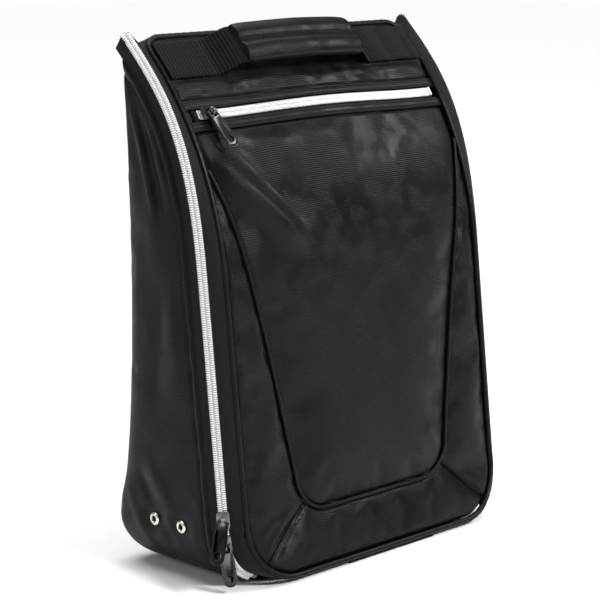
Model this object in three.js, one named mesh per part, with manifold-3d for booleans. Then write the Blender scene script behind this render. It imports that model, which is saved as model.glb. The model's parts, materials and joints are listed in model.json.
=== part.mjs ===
// Shoe bag: a soft wedge-shaped case that stands on its base. A zip runs from one lower front corner
// over the top to the other, and joins the rear shell to a padded front lid that hinges at the base.
// Millimetres. +Z is up, the lid faces -Y, and the origin is at the middle of the footprint.
import * as THREE from 'three';
import { mergeVertices } from 'three/addons/utils/BufferGeometryUtils.js';
import Module from 'manifold-3d';

const wasm = await Module();
wasm.setup();

// ---- driving dimensions -------------------------------------------------------------------------
const DEGREE = Math.PI / 180;
const GAP = 0.35; // left between pieces that rest on each other

const SHELL_HALF_WIDTH = 135.2;
const SHELL_CORNER = 34; // radius of the two lower side edges
const SHELL_WALL = 2.4; // coated cloth over thin foam
const LINING = 1;

const LID_HALF_WIDTH = 119.6;
const LID_CORNER = 36;
const RIM_TOP_CORNER = 14;
const LID_SKIN = 1.2;
const LID_FOAM = 3.6;
const LID_FLARE = 6; // how far the lid's lower edge stands forward
const FLARE_RUN = 45;

const FRONT_START = { y: -52.2, z: 3.6 }; // lower edge of the front face
const FRONT_LEAN = 6 * DEGREE;
const TOP_LEAN = 45 * DEGREE;
const FRONT_RUN = 195; // straight stretch, before the front bends back
const BEND_RADIUS = 230;
const TOP_RUN = 16;
const FOLD_RADIUS = 2.5; // where the zip folds over the rear edge

const COIL_HALF = 2.65; // width of one half of a number 5 coil
const COIL_DEPTH = 2.6;
const COIL_SPLIT = 1; // between the two halves, where the slider's post runs
const ZIP_INSET = 4.2; // coil centre, in from the shell's side
const ZIP_SETBACK = 8.5; // coil centre, behind the lid's face
const ZIP_TURN = 45 * DEGREE; // the zip runs round the edge between front and side, and faces both
const TAPE = 1;
const SIDE_TAPE_WIDTH = 6.2; // the shell's tape, turned back along the sides
const TOP_TAPE_WIDTH = 7.6; // and hanging down the back
const SIDE_EDGE = 9.2; // the side panels' front edge, behind the coil's centre

const PIPING_RADIUS = 2;
const SEAM_PIPING_RADIUS = 1.4;

const POCKET_HEIGHT = 298; // of the pocket's zip, up the front
const POCKET_SLOT = 4.6; // from the middle of the zip to each facing
const FACING = 6.4;

const HANDLE_HEIGHT = 330.7;
const WEBBING_HALF = 14.5;
const WEBBING = 1.5;
const HANDLE_CENTRE = -6; // the handle is sewn on a little off centre
const GRIP_HALF_LENGTH = 53;
const GRIP_LIFT = 9; // finger gap under the grip
const GRIP_WALL = 1.7;
const GRIP_WIDTH = 32;
const GRIP_HEIGHT = 8.4;

// ---- the front's side profile ---------------------------------------------------------------------
// Each stretch has a length and the angle that the face leans back by along it.
const stretches = [
  { length: FRONT_RUN, turn: 0 },
  { length: BEND_RADIUS * (TOP_LEAN - FRONT_LEAN), turn: TOP_LEAN - FRONT_LEAN },
  { length: TOP_RUN, turn: 0 },
  { length: FOLD_RADIUS * (Math.PI - TOP_LEAN), turn: Math.PI - TOP_LEAN },
  { length: 60, turn: 0 },
];
const LID_RUN = stretches[0].length + stretches[1].length + stretches[2].length;
const BACK_FACE_RUN = LID_RUN + stretches[3].length;
const RIM_TOP = LID_RUN - 2.5; // the rim's piping runs just before the fold

function profile(run) {
  let { y, z } = FRONT_START;
  let lean = FRONT_LEAN;
  let left = run;
  for (const { length, turn } of stretches) {
    const step = Math.min(left, length);
    const angle = (turn * step) / length;
    if (turn > 0) {
      const radius = length / turn;
      y += radius * (Math.cos(lean) - Math.cos(lean + angle));
      z += radius * (Math.sin(lean + angle) - Math.sin(lean));
    } else {
      y += step * Math.sin(lean);
      z += step * Math.cos(lean);
    }
    lean += angle;
    left -= step;
    if (left <= 0) break;
  }
  return { y, z, lean };
}

function bisect(f, low, high) {
  for (let i = 0; i < 50; i++) {
    const middle = (low + high) / 2;
    if (f(middle) < 0) low = middle;
    else high = middle;
  }
  return (low + high) / 2;
}

const runAtHeight = (height) => bisect((run) => profile(run).z - height, 0, LID_RUN);
const flare = (run) => LID_FLARE * Math.max(0, 1 - run / FLARE_RUN) ** 2;
const smooth = (from, to, value) => THREE.MathUtils.smoothstep(value, from, to);

// A point of the lid: across, up its face, and out from its skin.
function onLid(x, run, out = 0) {
  const { y, z, lean } = profile(run);
  return new THREE.Vector3(x, y - flare(run) - out * Math.cos(lean), z + out * Math.sin(lean));
}

// ---- solids -----------------------------------------------------------------------------------------
function solid(points, index) {
  let volume = 0;
  for (let i = 0; i < index.length; i += 3) {
    const [a, b, c] = [points[index[i]], points[index[i + 1]], points[index[i + 2]]];
    volume += a.dot(b.clone().cross(c));
  }
  const faces = volume < 0 ? index.slice().reverse() : index;
  const geometry = new THREE.BufferGeometry().setFromPoints(points);
  geometry.setIndex(faces);
  return geometry;
}

// Rings of points, one after the other, skinned and closed by a flat cap at each end.
function loft(rings) {
  const count = rings[0].length;
  const index = [];
  for (let i = 0; i < rings.length - 1; i++) {
    for (let j = 0; j < count; j++) {
      const a = i * count + j;
      const b = i * count + ((j + 1) % count);
      index.push(a, b, b + count, a, b + count, a + count);
    }
  }
  const last = (rings.length - 1) * count;
  for (let j = 1; j < count - 1; j++) {
    index.push(0, j + 1, j);
    index.push(last, last + j, last + j + 1);
  }
  return solid(rings.flat(), index);
}

// A sheet with two faces: face(u, v) gives the outer and the inner point.
function sheet(columns, rows, face) {
  const points = [];
  const index = [];
  const wide = columns + 1;
  const layer = wide * (rows + 1);
  for (let side = 0; side < 2; side++) {
    for (let i = 0; i <= rows; i++) {
      for (let j = 0; j <= columns; j++) points.push(face(j / columns, i / rows)[side]);
    }
  }
  const border = [];
  for (let i = 0; i < rows; i++) {
    for (let j = 0; j < columns; j++) {
      const a = i * wide + j;
      index.push(a, a + 1, a + wide + 1, a, a + wide + 1, a + wide);
      const b = a + layer;
      index.push(b, b + wide + 1, b + 1, b, b + wide, b + wide + 1);
    }
  }
  for (let j = 0; j < columns; j++) border.push(j);
  for (let i = 0; i < rows; i++) border.push(i * wide + columns);
  for (let j = columns; j > 0; j--) border.push(rows * wide + j);
  for (let i = rows; i > 0; i--) border.push(i * wide);
  border.forEach((a, k) => {
    const b = border[(k + 1) % border.length];
    index.push(a, a + layer, b + layer, a, b + layer, b);
  });
  return solid(points, index);
}

function toManifold(geometry) {
  const bare = geometry.clone();
  bare.deleteAttribute('normal');
  bare.deleteAttribute('uv');
  const merged = mergeVertices(bare, 1e-4);
  const vertProperties = new Float32Array(merged.attributes.position.array);
  const triVerts = new Uint32Array(merged.index.array);
  return new wasm.Manifold(new wasm.Mesh({ numProp: 3, vertProperties, triVerts }));
}

function fromManifold(manifold) {
  const { vertProperties, triVerts } = manifold.getMesh();
  const geometry = new THREE.BufferGeometry();
  geometry.setAttribute('position', new THREE.BufferAttribute(new Float32Array(vertProperties), 3));
  geometry.setIndex(new THREE.BufferAttribute(new Uint32Array(triVerts), 1));
  return geometry;
}

const cut = (from, ...tools) =>
  fromManifold(tools.reduce((rest, tool) => rest.subtract(toManifold(tool)), toManifold(from)));
const join = (...pieces) => fromManifold(pieces.map(toManifold).reduce((a, b) => a.add(b)));

function box(x0, x1, y0, y1, z0, z1) {
  const geometry = new THREE.BoxGeometry(x1 - x0, y1 - y0, z1 - z0);
  return geometry.translate((x0 + x1) / 2, (y0 + y1) / 2, (z0 + z1) / 2);
}

function tube(points, radius, steps) {
  const section = new THREE.Shape().absarc(0, 0, radius, 0, 2 * Math.PI);
  const path = new THREE.CatmullRomCurve3(points, false, 'centripetal');
  return new THREE.ExtrudeGeometry(section, { steps, curveSegments: 3, extrudePath: path });
}

// ---- materials --------------------------------------------------------------------------------------
const finishes = {
  cloth: { color: 0x26262a, roughness: 0.42, metalness: 0 },
  lining: { color: 0x2f3033, roughness: 0.9, metalness: 0 },
  foam: { color: 0x3a3b40, roughness: 1, metalness: 0 },
  board: { color: 0x55504a, roughness: 0.8, metalness: 0 },
  webbing: { color: 0x19191c, roughness: 0.85, metalness: 0 },
  tape: { color: 0x151517, roughness: 0.9, metalness: 0 },
  coil: { color: 0xf2f2f0, roughness: 0.4, metalness: 0 },
  slider: { color: 0x141416, roughness: 0.35, metalness: 0.7 },
  eyelet: { color: 0xc9c0a8, roughness: 0.3, metalness: 0.9 },
};

const bag = new THREE.Group();

function add(name, geometry, finish, parent = bag) {
  const mesh = new THREE.Mesh(geometry, new THREE.MeshStandardMaterial(finishes[finish]));
  mesh.name = name;
  parent.add(mesh);
  return mesh;
}

const sides = [
  { name: 'left', sign: -1 },
  { name: 'right', sign: 1 },
];

// ---- rear shell -------------------------------------------------------------------------------------
// The back bellies a little at mid height and flares out to a round heel above the base.
const backCurve = new THREE.CatmullRomCurve3(
  [
    [43, 0],
    [50.5, 3.5],
    [57, 12],
    [59.5, 26],
    [57, 42],
    [51, 68],
    [46, 120],
    [43.5, 190],
    [44, 255],
    [48, 329],
  ].map(([y, z]) => new THREE.Vector3(0, y, z)),
  false,
  'centripetal',
);
const BACK_TOP = 323.5;

const backShare = (height) => bisect((t) => backCurve.getPoint(t).z - height, 0, 1);

function onBack(x, share, inward) {
  const point = backCurve.getPoint(share);
  const tangent = backCurve.getTangent(share);
  return new THREE.Vector3(x, point.y - inward * tangent.z, point.z + inward * tangent.y);
}

// Half the room between the side panels at a height, less a wall of the given depth.
function halfRoom(height, depth) {
  const radius = SHELL_CORNER - depth;
  const drop = Math.max(0, SHELL_CORNER - height);
  return SHELL_HALF_WIDTH - SHELL_CORNER + Math.sqrt(Math.max(0, radius ** 2 - drop ** 2));
}

function backSheet(depth, thickness, wallDepth, low, high) {
  const [start, end] = [backShare(low), backShare(high)];
  return sheet(1, 22, (u, v) => {
    const share = start + (end - start) * v;
    return [depth, depth + thickness].map((inward) => {
      const centre = onBack(0, share, inward);
      const half = halfRoom(centre.z, wallDepth);
      return centre.setX((2 * u - 1) * half);
    });
  });
}

const insideWall = SHELL_WALL + GAP;
add('back_panel', backSheet(0, SHELL_WALL, insideWall, 7, BACK_TOP), 'cloth');
const insideLining = insideWall + LINING + GAP;
add('back_lining', backSheet(insideWall, LINING, insideLining, 14, BACK_TOP - 4), 'lining');

// The side's front edge lies behind the zip's tape, its rear edge on the back's curve.
const setback = (run) => ZIP_SETBACK * (1 - smooth(FRONT_RUN, LID_RUN - 47, run));

function sideEdge(run) {
  const { y, z, lean } = profile(run);
  const behind = setback(run) + SIDE_EDGE;
  return { y: y + behind * Math.cos(lean), z: z - behind * Math.sin(lean) };
}

const SIDE_TOP_RUN = LID_RUN - 16;

function sideSheet(sign, depth, thickness, trim) {
  const arcRows = 8;
  const flatRows = 22;
  const rows = arcRows + flatRows;
  const radius = SHELL_CORNER;
  const topShare = backShare(BACK_TOP - 2 - trim);
  const cornerShare = backShare(radius);
  return sheet(1, rows, (u, v) => {
    const row = Math.round(v * rows);
    const flat = Math.max(0, row - arcRows) / flatRows;
    const bend = Math.PI / 2 - (Math.min(row, arcRows) / arcRows) * (Math.PI / 2);
    return [depth, depth + thickness].map((inward) => {
      const r = radius - inward;
      const x = sign * (SHELL_HALF_WIDTH - radius + r * Math.cos(bend));
      if (row < arcRows) {
        const height = radius - radius * Math.sin(bend);
        const front = sideEdge(Math.max(0, runAtHeight(Math.max(height, FRONT_START.z)))).y + trim;
        const back = backCurve.getPoint(backShare(Math.max(height, 1))).y - trim;
        return new THREE.Vector3(x, front + (back - front) * u, radius - r * Math.sin(bend));
      }
      const run = runAtHeight(radius) + (SIDE_TOP_RUN - trim - runAtHeight(radius)) * flat;
      const front = sideEdge(run);
      const back = backCurve.getPoint(cornerShare + (topShare - cornerShare) * flat);
      const y = front.y + trim + (back.y - trim - front.y - trim) * u;
      const z = flat === 0 ? radius : front.z + (back.z - front.z) * u;
      return new THREE.Vector3(x, y, z);
    });
  });
}

// Two eyelets low on each side let the shoes air.
const EYELET_HEIGHT = 36;
const EYELET_BORE = 2;
const EYELET_BARREL = 2.5;
const EYELET_FLANGE = 4.4;
const eyelets = [
  { name: 'front', y: -4.2 },
  { name: 'rear', y: 21.8 },
];

function eyeletHole(sign, y) {
  const hole = new THREE.CylinderGeometry(EYELET_BARREL + GAP, EYELET_BARREL + GAP, 14, 16);
  return hole.rotateZ(Math.PI / 2).translate(sign * (SHELL_HALF_WIDTH - 3), y, EYELET_HEIGHT);
}

// A turned ring: points are (distance from the axis, place along it), the axis being X.
function turned(points) {
  const outline = points.map(([radius, along]) => new THREE.Vector2(radius, along));
  outline.push(outline[0].clone());
  return new THREE.LatheGeometry(outline, 20).rotateZ(-Math.PI / 2);
}

const stack = SHELL_WALL + GAP + LINING; // what an eyelet clamps
for (const { name, sign } of sides) {
  const holes = eyelets.map(({ y }) => eyeletHole(sign, y));
  add(`side_panel_${name}`, cut(sideSheet(sign, 0, SHELL_WALL, 0), ...holes), 'cloth');
  add(`side_lining_${name}`, cut(sideSheet(sign, insideWall, LINING, 3), ...holes), 'lining');
  for (const eyelet of eyelets) {
    const place = new THREE.Group();
    place.position.set(sign * SHELL_HALF_WIDTH, eyelet.y, EYELET_HEIGHT);
    place.rotation.y = sign < 0 ? Math.PI : 0;
    bag.add(place);
    const flange = [
      [EYELET_BORE, -stack - 1.6],
      [EYELET_BARREL, -stack - 1.6],
      [EYELET_BARREL, GAP],
      [EYELET_FLANGE, GAP],
      [EYELET_FLANGE - 0.5, GAP + 0.8],
      [EYELET_BORE + 0.7, GAP + 1],
      [EYELET_BORE, GAP + 0.5],
    ];
    add(`eyelet_${name}_${eyelet.name}`, turned(flange), 'eyelet', place);
    const washer = [
      [EYELET_BARREL + GAP, -stack - GAP - 0.8],
      [EYELET_FLANGE, -stack - GAP - 0.8],
      [EYELET_FLANGE, -stack - GAP],
      [EYELET_BARREL + GAP, -stack - GAP],
    ];
    add(`washer_${name}_${eyelet.name}`, turned(washer), 'eyelet', place);
  }
}

// The base is flat between the round lower edges, with a stiff board on it.
const BASE_HALF = SHELL_HALF_WIDTH - SHELL_CORNER - GAP;
const BASE_FRONT = -42;
const BASE_BACK = 42;
const BOARD = 2;
add('base_panel', box(-BASE_HALF, BASE_HALF, BASE_FRONT, BASE_BACK, 0, SHELL_WALL), 'cloth');
const boardLow = SHELL_WALL + GAP;
add('base_board', box(-BASE_HALF + 3, BASE_HALF - 3, -36, 36, boardLow, boardLow + BOARD), 'board');

// The lid hinges on a strip of cloth, and a bound edge shows under the lid in front of it.
const HINGE_WEB = 1.2;
const WEB_FRONT = -54;
add('hinge_web', box(-80, 80, WEB_FRONT, BASE_FRONT - GAP, 0.4, 0.4 + HINGE_WEB), 'tape');
add('base_strip', box(-35, 48, WEB_FRONT - 4, WEB_FRONT - GAP, 0, 1.2), 'webbing');

// ---- main zip ---------------------------------------------------------------------------------------
// Its path runs up one side, folds over the rear edge and comes down the other. Each station has the
// coil's centre, the direction across the tape towards the shell, and the direction out. Both turn
// by ZIP_TURN from the face, and flat again where the zip reaches the back. outward and normal are
// the same two directions before that turn.
const COIL_X = SHELL_HALF_WIDTH - ZIP_INSET;
const COIL_CORNER = SHELL_CORNER - ZIP_INSET;
const CORNER_CLEARANCE = 7.5; // four times what the tape keeps from the coil halfway round a top corner
const COIL_END = 68 * DEGREE; // how far round the lower corner the zip goes
const ZIP_TOP_CORNER = 15;
const ZIP_TOP_RUN = BACK_FACE_RUN + 9.5;
const zipPlane = profile(0);

function zipPoint(x, run) {
  const { y, z, lean } = profile(run);
  const back = setback(run);
  return new THREE.Vector3(x, y + back * Math.cos(lean), z - back * Math.sin(lean));
}

// A point of the leaning plane that the lower, straight part of the zip lies in.
function inZipPlane(x, height) {
  const y = zipPlane.y + ZIP_SETBACK / Math.cos(FRONT_LEAN);
  return new THREE.Vector3(x, y + (height - zipPlane.z) * Math.tan(FRONT_LEAN), height);
}

function frontNormal(lean) {
  return new THREE.Vector3(0, -Math.cos(lean), Math.sin(lean));
}

function upFace(lean) {
  return new THREE.Vector3(0, Math.sin(lean), Math.cos(lean));
}

function turnedStation(point, outward, normal, turned, lid) {
  const angle = ZIP_TURN * (1 - turned);
  const across = outward.clone().multiplyScalar(Math.cos(angle)).addScaledVector(normal, -Math.sin(angle));
  const out = normal.clone().multiplyScalar(Math.cos(angle)).addScaledVector(outward, Math.sin(angle));
  return { point, outward, normal, across, out, turned, lid };
}

// Stations of the left half, from the lower end to the middle of the top.
function zipHalf() {
  const stations = [];
  const sideways = new THREE.Vector3(-1, 0, 0);
  const planeNormal = frontNormal(FRONT_LEAN);
  const planeUp = upFace(FRONT_LEAN);
  const centre = inZipPlane(-(COIL_X - COIL_CORNER), SHELL_CORNER);
  const cornerSteps = 9;
  for (let i = 0; i <= cornerSteps; i++) {
    const angle = COIL_END * (1 - i / cornerSteps);
    const [ax, as] = [-Math.cos(angle), -Math.sin(angle)];
    const outward = new THREE.Vector3(ax, 0, 0).addScaledVector(planeUp, as);
    const point = centre.clone().addScaledVector(outward, COIL_CORNER);
    const lid = { x: LID_CORNER * (1 + ax) - LID_HALF_WIDTH, run: LID_CORNER * (1 + as), ax, as };
    stations.push(turnedStation(point, outward, planeNormal, 0, lid));
  }
  const topCornerRun = ZIP_TOP_RUN - ZIP_TOP_CORNER;
  const startRun = runAtHeight(SHELL_CORNER);
  const runs = [startRun + 4, FRONT_RUN * 0.6, FRONT_RUN];
  const bendSteps = 9;
  for (let i = 1; i <= bendSteps; i++) {
    runs.push(FRONT_RUN + ((topCornerRun - FRONT_RUN) * i) / bendSteps);
  }
  for (const run of runs) {
    const { lean } = profile(run);
    const lid = { x: -LID_HALF_WIDTH, run: Math.min(run, RIM_TOP - RIM_TOP_CORNER), ax: -1, as: 0 };
    stations.push(turnedStation(zipPoint(-COIL_X, run), sideways, frontNormal(lean), 0, lid));
  }
  const topSteps = 8;
  for (let i = 1; i <= topSteps; i++) {
    const angle = ((Math.PI / 2) * i) / topSteps;
    const x = -(COIL_X - ZIP_TOP_CORNER) - ZIP_TOP_CORNER * Math.cos(angle);
    const run = topCornerRun + ZIP_TOP_CORNER * Math.sin(angle);
    const { lean } = profile(run);
    const [ax, as] = [-Math.cos(angle), Math.sin(angle)];
    const outward = new THREE.Vector3(ax, 0, 0).addScaledVector(upFace(lean), as);
    const rim = { x: RIM_TOP_CORNER * (1 + ax) - LID_HALF_WIDTH, run: RIM_TOP - RIM_TOP_CORNER * (1 - as) };
    const lid = { ...rim, ax, as };
    stations.push(turnedStation(zipPoint(x, run), outward, frontNormal(lean), i / topSteps, lid));
  }
  const { lean } = profile(ZIP_TOP_RUN);
  const top = { x: 0, run: RIM_TOP, ax: 0, as: 1 };
  stations.push(turnedStation(zipPoint(0, ZIP_TOP_RUN), upFace(lean), frontNormal(lean), 1, top));
  return stations;
}

function mirrored({ point, outward, normal, turned: turn, lid }) {
  const flip = (vector) => vector.clone().setX(-vector.x);
  const lidSide = { ...lid, x: -lid.x, ax: -lid.ax };
  return turnedStation(flip(point), flip(outward), flip(normal), turn, lidSide);
}

const leftHalf = zipHalf();
const stations = [...leftHalf, ...leftHalf.slice(0, -1).reverse().map(mirrored)];

function offset(point, across, alongAcross, out, alongOut) {
  return point.clone().addScaledVector(across, alongAcross).addScaledVector(out, alongOut);
}

// A bar of rectangular section on the coil's line: from one place across the tape to another.
function coilBar(from, to) {
  return loft(
    stations.map(({ point, across, out }) => [
      offset(point, across, from, out, -COIL_DEPTH / 2),
      offset(point, across, to, out, -COIL_DEPTH / 2),
      offset(point, across, to, out, COIL_DEPTH / 2),
      offset(point, across, from, out, COIL_DEPTH / 2),
    ]),
  );
}

const coilInner = COIL_SPLIT / 2;
const coilOuter = coilInner + COIL_HALF;
add('zip_coil_lid', coilBar(-coilOuter, -coilInner), 'coil');
add('zip_coil_shell', coilBar(coilInner, coilOuter), 'coil');

// The lid's tape bridges from the rim's piping to the coil.
add(
  'zip_tape_lid',
  loft(
    stations.map(({ point, across, out, lid }) => {
      const rimOffset = PIPING_RADIUS + GAP;
      const rim = (height) => onLid(lid.x + lid.ax * rimOffset, lid.run + lid.as * rimOffset, height);
      const edge = -(coilOuter + GAP);
      return [
        rim(-TAPE / 2),
        rim(TAPE / 2),
        offset(point, across, edge, out, TAPE / 2),
        offset(point, across, edge, out, -TAPE / 2),
      ];
    }),
  ),
  'tape',
);

// The shell's tape turns back along the sides and hangs down the back along the top.
add(
  'zip_tape_shell',
  loft(
    stations.map(({ point, outward, normal, across, out, turned: turn }) => {
      const back = normal.clone().negate().lerp(across, turn).normalize();
      const face = outward.clone().lerp(out, turn).normalize();
      const clear = GAP + CORNER_CLEARANCE * turn * (1 - turn);
      const start = offset(point, across, coilOuter + clear, out, -0.5 * turn);
      const width = THREE.MathUtils.lerp(SIDE_TAPE_WIDTH, TOP_TAPE_WIDTH, turn);
      const end = start.clone().addScaledVector(back, width);
      const thick = (base) => base.clone().addScaledVector(face, TAPE - 0.1);
      return [start, end, thick(end), thick(start)];
    }),
  ),
  'tape',
);

// A crimped stop closes each lower end of the coil.
for (const { name, sign } of sides) {
  const { point, across, out } = sign < 0 ? stations[0] : stations[stations.length - 1];
  const place = new THREE.Group();
  const along = across.clone().cross(out).multiplyScalar(-sign);
  place.matrix.makeBasis(along, across, along.clone().cross(across));
  place.quaternion.setFromRotationMatrix(place.matrix);
  place.position.copy(point).addScaledVector(along, -1.5 - GAP);
  bag.add(place);
  add(`zip_stop_${name}`, box(-1.5, 1.5, -coilOuter, -coilInner, -1.5, 1.5), 'slider', place);
}

// ---- lid --------------------------------------------------------------------------------------------
const rimCentre = LID_HALF_WIDTH - LID_CORNER;

// Half the lid's width at a height, less a margin: round at the foot and at the top.
function rimHalf(run, margin) {
  const topCentre = RIM_TOP - RIM_TOP_CORNER;
  if (run > topCentre) {
    const radius = RIM_TOP_CORNER - margin - 1;
    const rise = Math.min(radius, run - topCentre);
    return LID_HALF_WIDTH - RIM_TOP_CORNER + Math.sqrt(radius ** 2 - rise ** 2);
  }
  if (run >= LID_CORNER) return LID_HALF_WIDTH - margin;
  const drop = Math.min(LID_CORNER - margin, LID_CORNER - run);
  return rimCentre + Math.sqrt((LID_CORNER - margin) ** 2 - drop ** 2);
}

function rimRun(x) {
  const beyond = Math.max(0, Math.abs(x) - rimCentre);
  return LID_CORNER - Math.sqrt(LID_CORNER ** 2 - beyond ** 2);
}

// The centre panel narrows downwards to a rounded foot. Its seam is given by half widths up the front.
const PANEL_FOOT = runAtHeight(40);
const PANEL_CORNER = 26;
const panelCurve = new THREE.SplineCurve([
  new THREE.Vector2(73, PANEL_FOOT + PANEL_CORNER),
  new THREE.Vector2(80, runAtHeight(105)),
  new THREE.Vector2(88, runAtHeight(150)),
  new THREE.Vector2(97, runAtHeight(192)),
  new THREE.Vector2(108, runAtHeight(237)),
  new THREE.Vector2(117, runAtHeight(266)),
]);
const PANEL_SHOULDER = panelCurve.points.at(-1).y;
const panelCentre = 73 - PANEL_CORNER;

function panelHalf(run) {
  if (run < PANEL_FOOT + PANEL_CORNER) {
    const drop = PANEL_FOOT + PANEL_CORNER - run;
    return panelCentre + Math.sqrt(Math.max(0, PANEL_CORNER ** 2 - drop ** 2));
  }
  if (run >= PANEL_SHOULDER) return panelCurve.points.at(-1).x;
  return panelCurve.getPoint(bisect((t) => panelCurve.getPoint(t).y - run, 0, 1)).x;
}

const SEAM = SEAM_PIPING_RADIUS + GAP; // from a piped seam to the cloth beside it
const RIM = PIPING_RADIUS + GAP;

// A skin that spans from one side to another at each height.
function lidSheet(rows, low, high, left, right, out, thickness) {
  return sheet(1, rows, (u, v) => {
    const run = low + (high - low) * v;
    const x = left(run) + (right(run) - left(run)) * u;
    return [onLid(x, run, out), onLid(x, run, out - thickness)];
  });
}

const pocketRun = runAtHeight(POCKET_HEIGHT);
const facingLow = pocketRun - POCKET_SLOT - FACING;
const facingHigh = pocketRun + POCKET_SLOT + FACING;
const innerRim = (run) => rimHalf(run, RIM);

function fullSheet(rows, low, high, out, thickness, inset = 0) {
  const half = (run) => innerRim(run) - inset;
  return lidSheet(rows, low, high, (run) => -half(run), half, out, thickness);
}

add('top_panel', fullSheet(30, facingHigh + GAP, RIM_TOP - RIM, 0, LID_SKIN), 'cloth');
add('facing_upper', fullSheet(1, pocketRun + POCKET_SLOT, facingHigh, 0, LID_SKIN), 'cloth');
add('facing_lower', fullSheet(1, facingLow, pocketRun - POCKET_SLOT, 0, LID_SKIN), 'cloth');

function panelSideAt(run) {
  return Math.min(innerRim(run), run > PANEL_SHOULDER ? Infinity : panelHalf(run) - SEAM);
}
const panelLow = PANEL_FOOT + SEAM;
add(
  'pocket_panel',
  sheet(1, 40, (u, v) => {
    const eased = v * v * (2 - v);
    const run = panelLow + (facingLow - GAP - panelLow) * eased;
    const drop = Math.max(0, PANEL_FOOT + PANEL_CORNER - run);
    const foot = panelCentre + Math.sqrt(Math.max(0, (PANEL_CORNER - SEAM) ** 2 - drop ** 2));
    const half = drop > 0 ? foot : panelSideAt(run);
    const x = (2 * u - 1) * half;
    return [onLid(x, run), onLid(x, run, -LID_SKIN)];
  }),
  'cloth',
);

// Mitre seams run from the centre panel's lower corners to the rim's.
const mitreInner = {
  x: panelCentre + PANEL_CORNER * Math.SQRT1_2,
  run: PANEL_FOOT + PANEL_CORNER * (1 - Math.SQRT1_2),
};
const mitreOuter = { x: rimCentre + 24, run: 9 };
const mitreSlope = (mitreInner.run - mitreOuter.run) / (mitreOuter.x - mitreInner.x);
const mitreX = (run) => mitreInner.x + (mitreInner.run - run) / mitreSlope;
const mitreRun = (x) => mitreInner.run - (Math.abs(x) - mitreInner.x) * mitreSlope;

for (const { name, sign } of sides) {
  const inner = (run) => (run < mitreInner.run ? mitreX(run) + 1 : panelHalf(run) + SEAM + 0.3);
  const outline = (run) => Math.max(innerRim(run), inner(run) + 0.8);
  const low = mitreOuter.run + 3;
  const high = PANEL_SHOULDER - 16;
  const skin = lidSheet(44, low, high, (run) => sign * inner(run), (run) => sign * outline(run), 0, LID_SKIN);
  add(`border_${name}`, skin, 'cloth');
}

function borderTop(x) {
  const distance = Math.abs(x);
  if (distance <= panelCentre) return PANEL_FOOT - SEAM;
  const radius = PANEL_CORNER + SEAM;
  const beyond = Math.min(radius, distance - panelCentre);
  const arc = PANEL_FOOT + PANEL_CORNER - Math.sqrt(radius ** 2 - beyond ** 2);
  return Math.min(arc, mitreRun(x) - 0.6);
}

const borderReach = mitreOuter.x - 5;
add(
  'border_bottom',
  sheet(44, 3, (u, v) => {
    const x = (2 * u - 1) * borderReach;
    const low = rimRun(x) + RIM * (1 + 0.6 * smooth(rimCentre, borderReach, Math.abs(x)));
    const run = low + (borderTop(x) - low) * v;
    return [onLid(x, run), onLid(x, run, -LID_SKIN)];
  }),
  'cloth',
);

// Piping: one round the rim, one round the centre panel.
const RIM_OUT = -0.6;
const rimPath = [];
for (const sign of [-1, 1]) {
  const half = [];
  for (let i = 0; i <= 8; i++) {
    const angle = (Math.PI / 2) * (1 - i / 8);
    const x = rimCentre + LID_CORNER * Math.cos(angle);
    half.push(onLid(sign * x, LID_CORNER * (1 - Math.sin(angle)), RIM_OUT));
  }
  for (const run of [80, 140, 190, 215, 245, 275, 305, 335]) {
    half.push(onLid(sign * LID_HALF_WIDTH, run, RIM_OUT));
  }
  const round = RIM_TOP_CORNER;
  for (let i = 0; i <= 6; i++) {
    const angle = ((Math.PI / 2) * i) / 6;
    const x = LID_HALF_WIDTH - round + round * Math.cos(angle);
    half.push(onLid(sign * x, RIM_TOP - round + round * Math.sin(angle), RIM_OUT));
  }
  for (const x of [95, 70, 30]) half.push(onLid(sign * x, RIM_TOP, RIM_OUT));
  half.unshift(onLid(sign * 40, 0, -0.6), onLid(sign * 75, 0, RIM_OUT));
  if (sign < 0) rimPath.push(onLid(-0.4, 0, -0.6), ...half);
  else rimPath.push(...half.reverse(), onLid(0.4, 0, RIM_OUT));
}
add('lid_piping', tube(rimPath, PIPING_RADIUS, 140), 'cloth');

const seamPath = [];
const seamOut = 0.1;
for (const sign of [-1, 1]) {
  const half = [];
  for (const run of [PANEL_SHOULDER - 6, 252, 236, 216, 192, 164, 130, 96]) {
    half.push(onLid(sign * panelHalf(run), run, seamOut));
  }
  for (let i = 0; i <= 6; i++) {
    const angle = ((Math.PI / 2) * i) / 6;
    const x = panelCentre + PANEL_CORNER * Math.cos(angle);
    half.push(onLid(sign * x, PANEL_FOOT + PANEL_CORNER * (1 - Math.sin(angle)), seamOut));
  }
  half.push(onLid(sign * 40, PANEL_FOOT, seamOut), onLid(sign * 12, PANEL_FOOT, seamOut));
  seamPath.push(...(sign < 0 ? half : half.reverse()));
}
add('panel_piping', tube(seamPath, SEAM_PIPING_RADIUS, 80), 'cloth');

// Behind the skin: the pocket's pouch, the foam and the lining.
const POCKET_TAPE = 0.6;
const pocketTapeOut = -LID_SKIN - GAP;
const pouchOut = pocketTapeOut - POCKET_TAPE - GAP;
const POUCH = 0.5;
const foamOut = pouchOut - POUCH - GAP;
const liningOut = foamOut - LID_FOAM - GAP;
add('pocket_pouch', fullSheet(16, PANEL_SHOULDER - 130, pocketRun + 10, pouchOut, POUCH, 6), 'lining');
add('lid_foam', fullSheet(26, 8, LID_RUN - 12, foamOut, LID_FOAM, 4), 'foam');
add('lid_lining', fullSheet(26, 7, LID_RUN - 11, liningOut, LINING, 3), 'lining');

// ---- pocket zip -------------------------------------------------------------------------------------
const POCKET_HALF = 108;
const pocketCoilOut = pocketTapeOut + GAP + 0.2;

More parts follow.
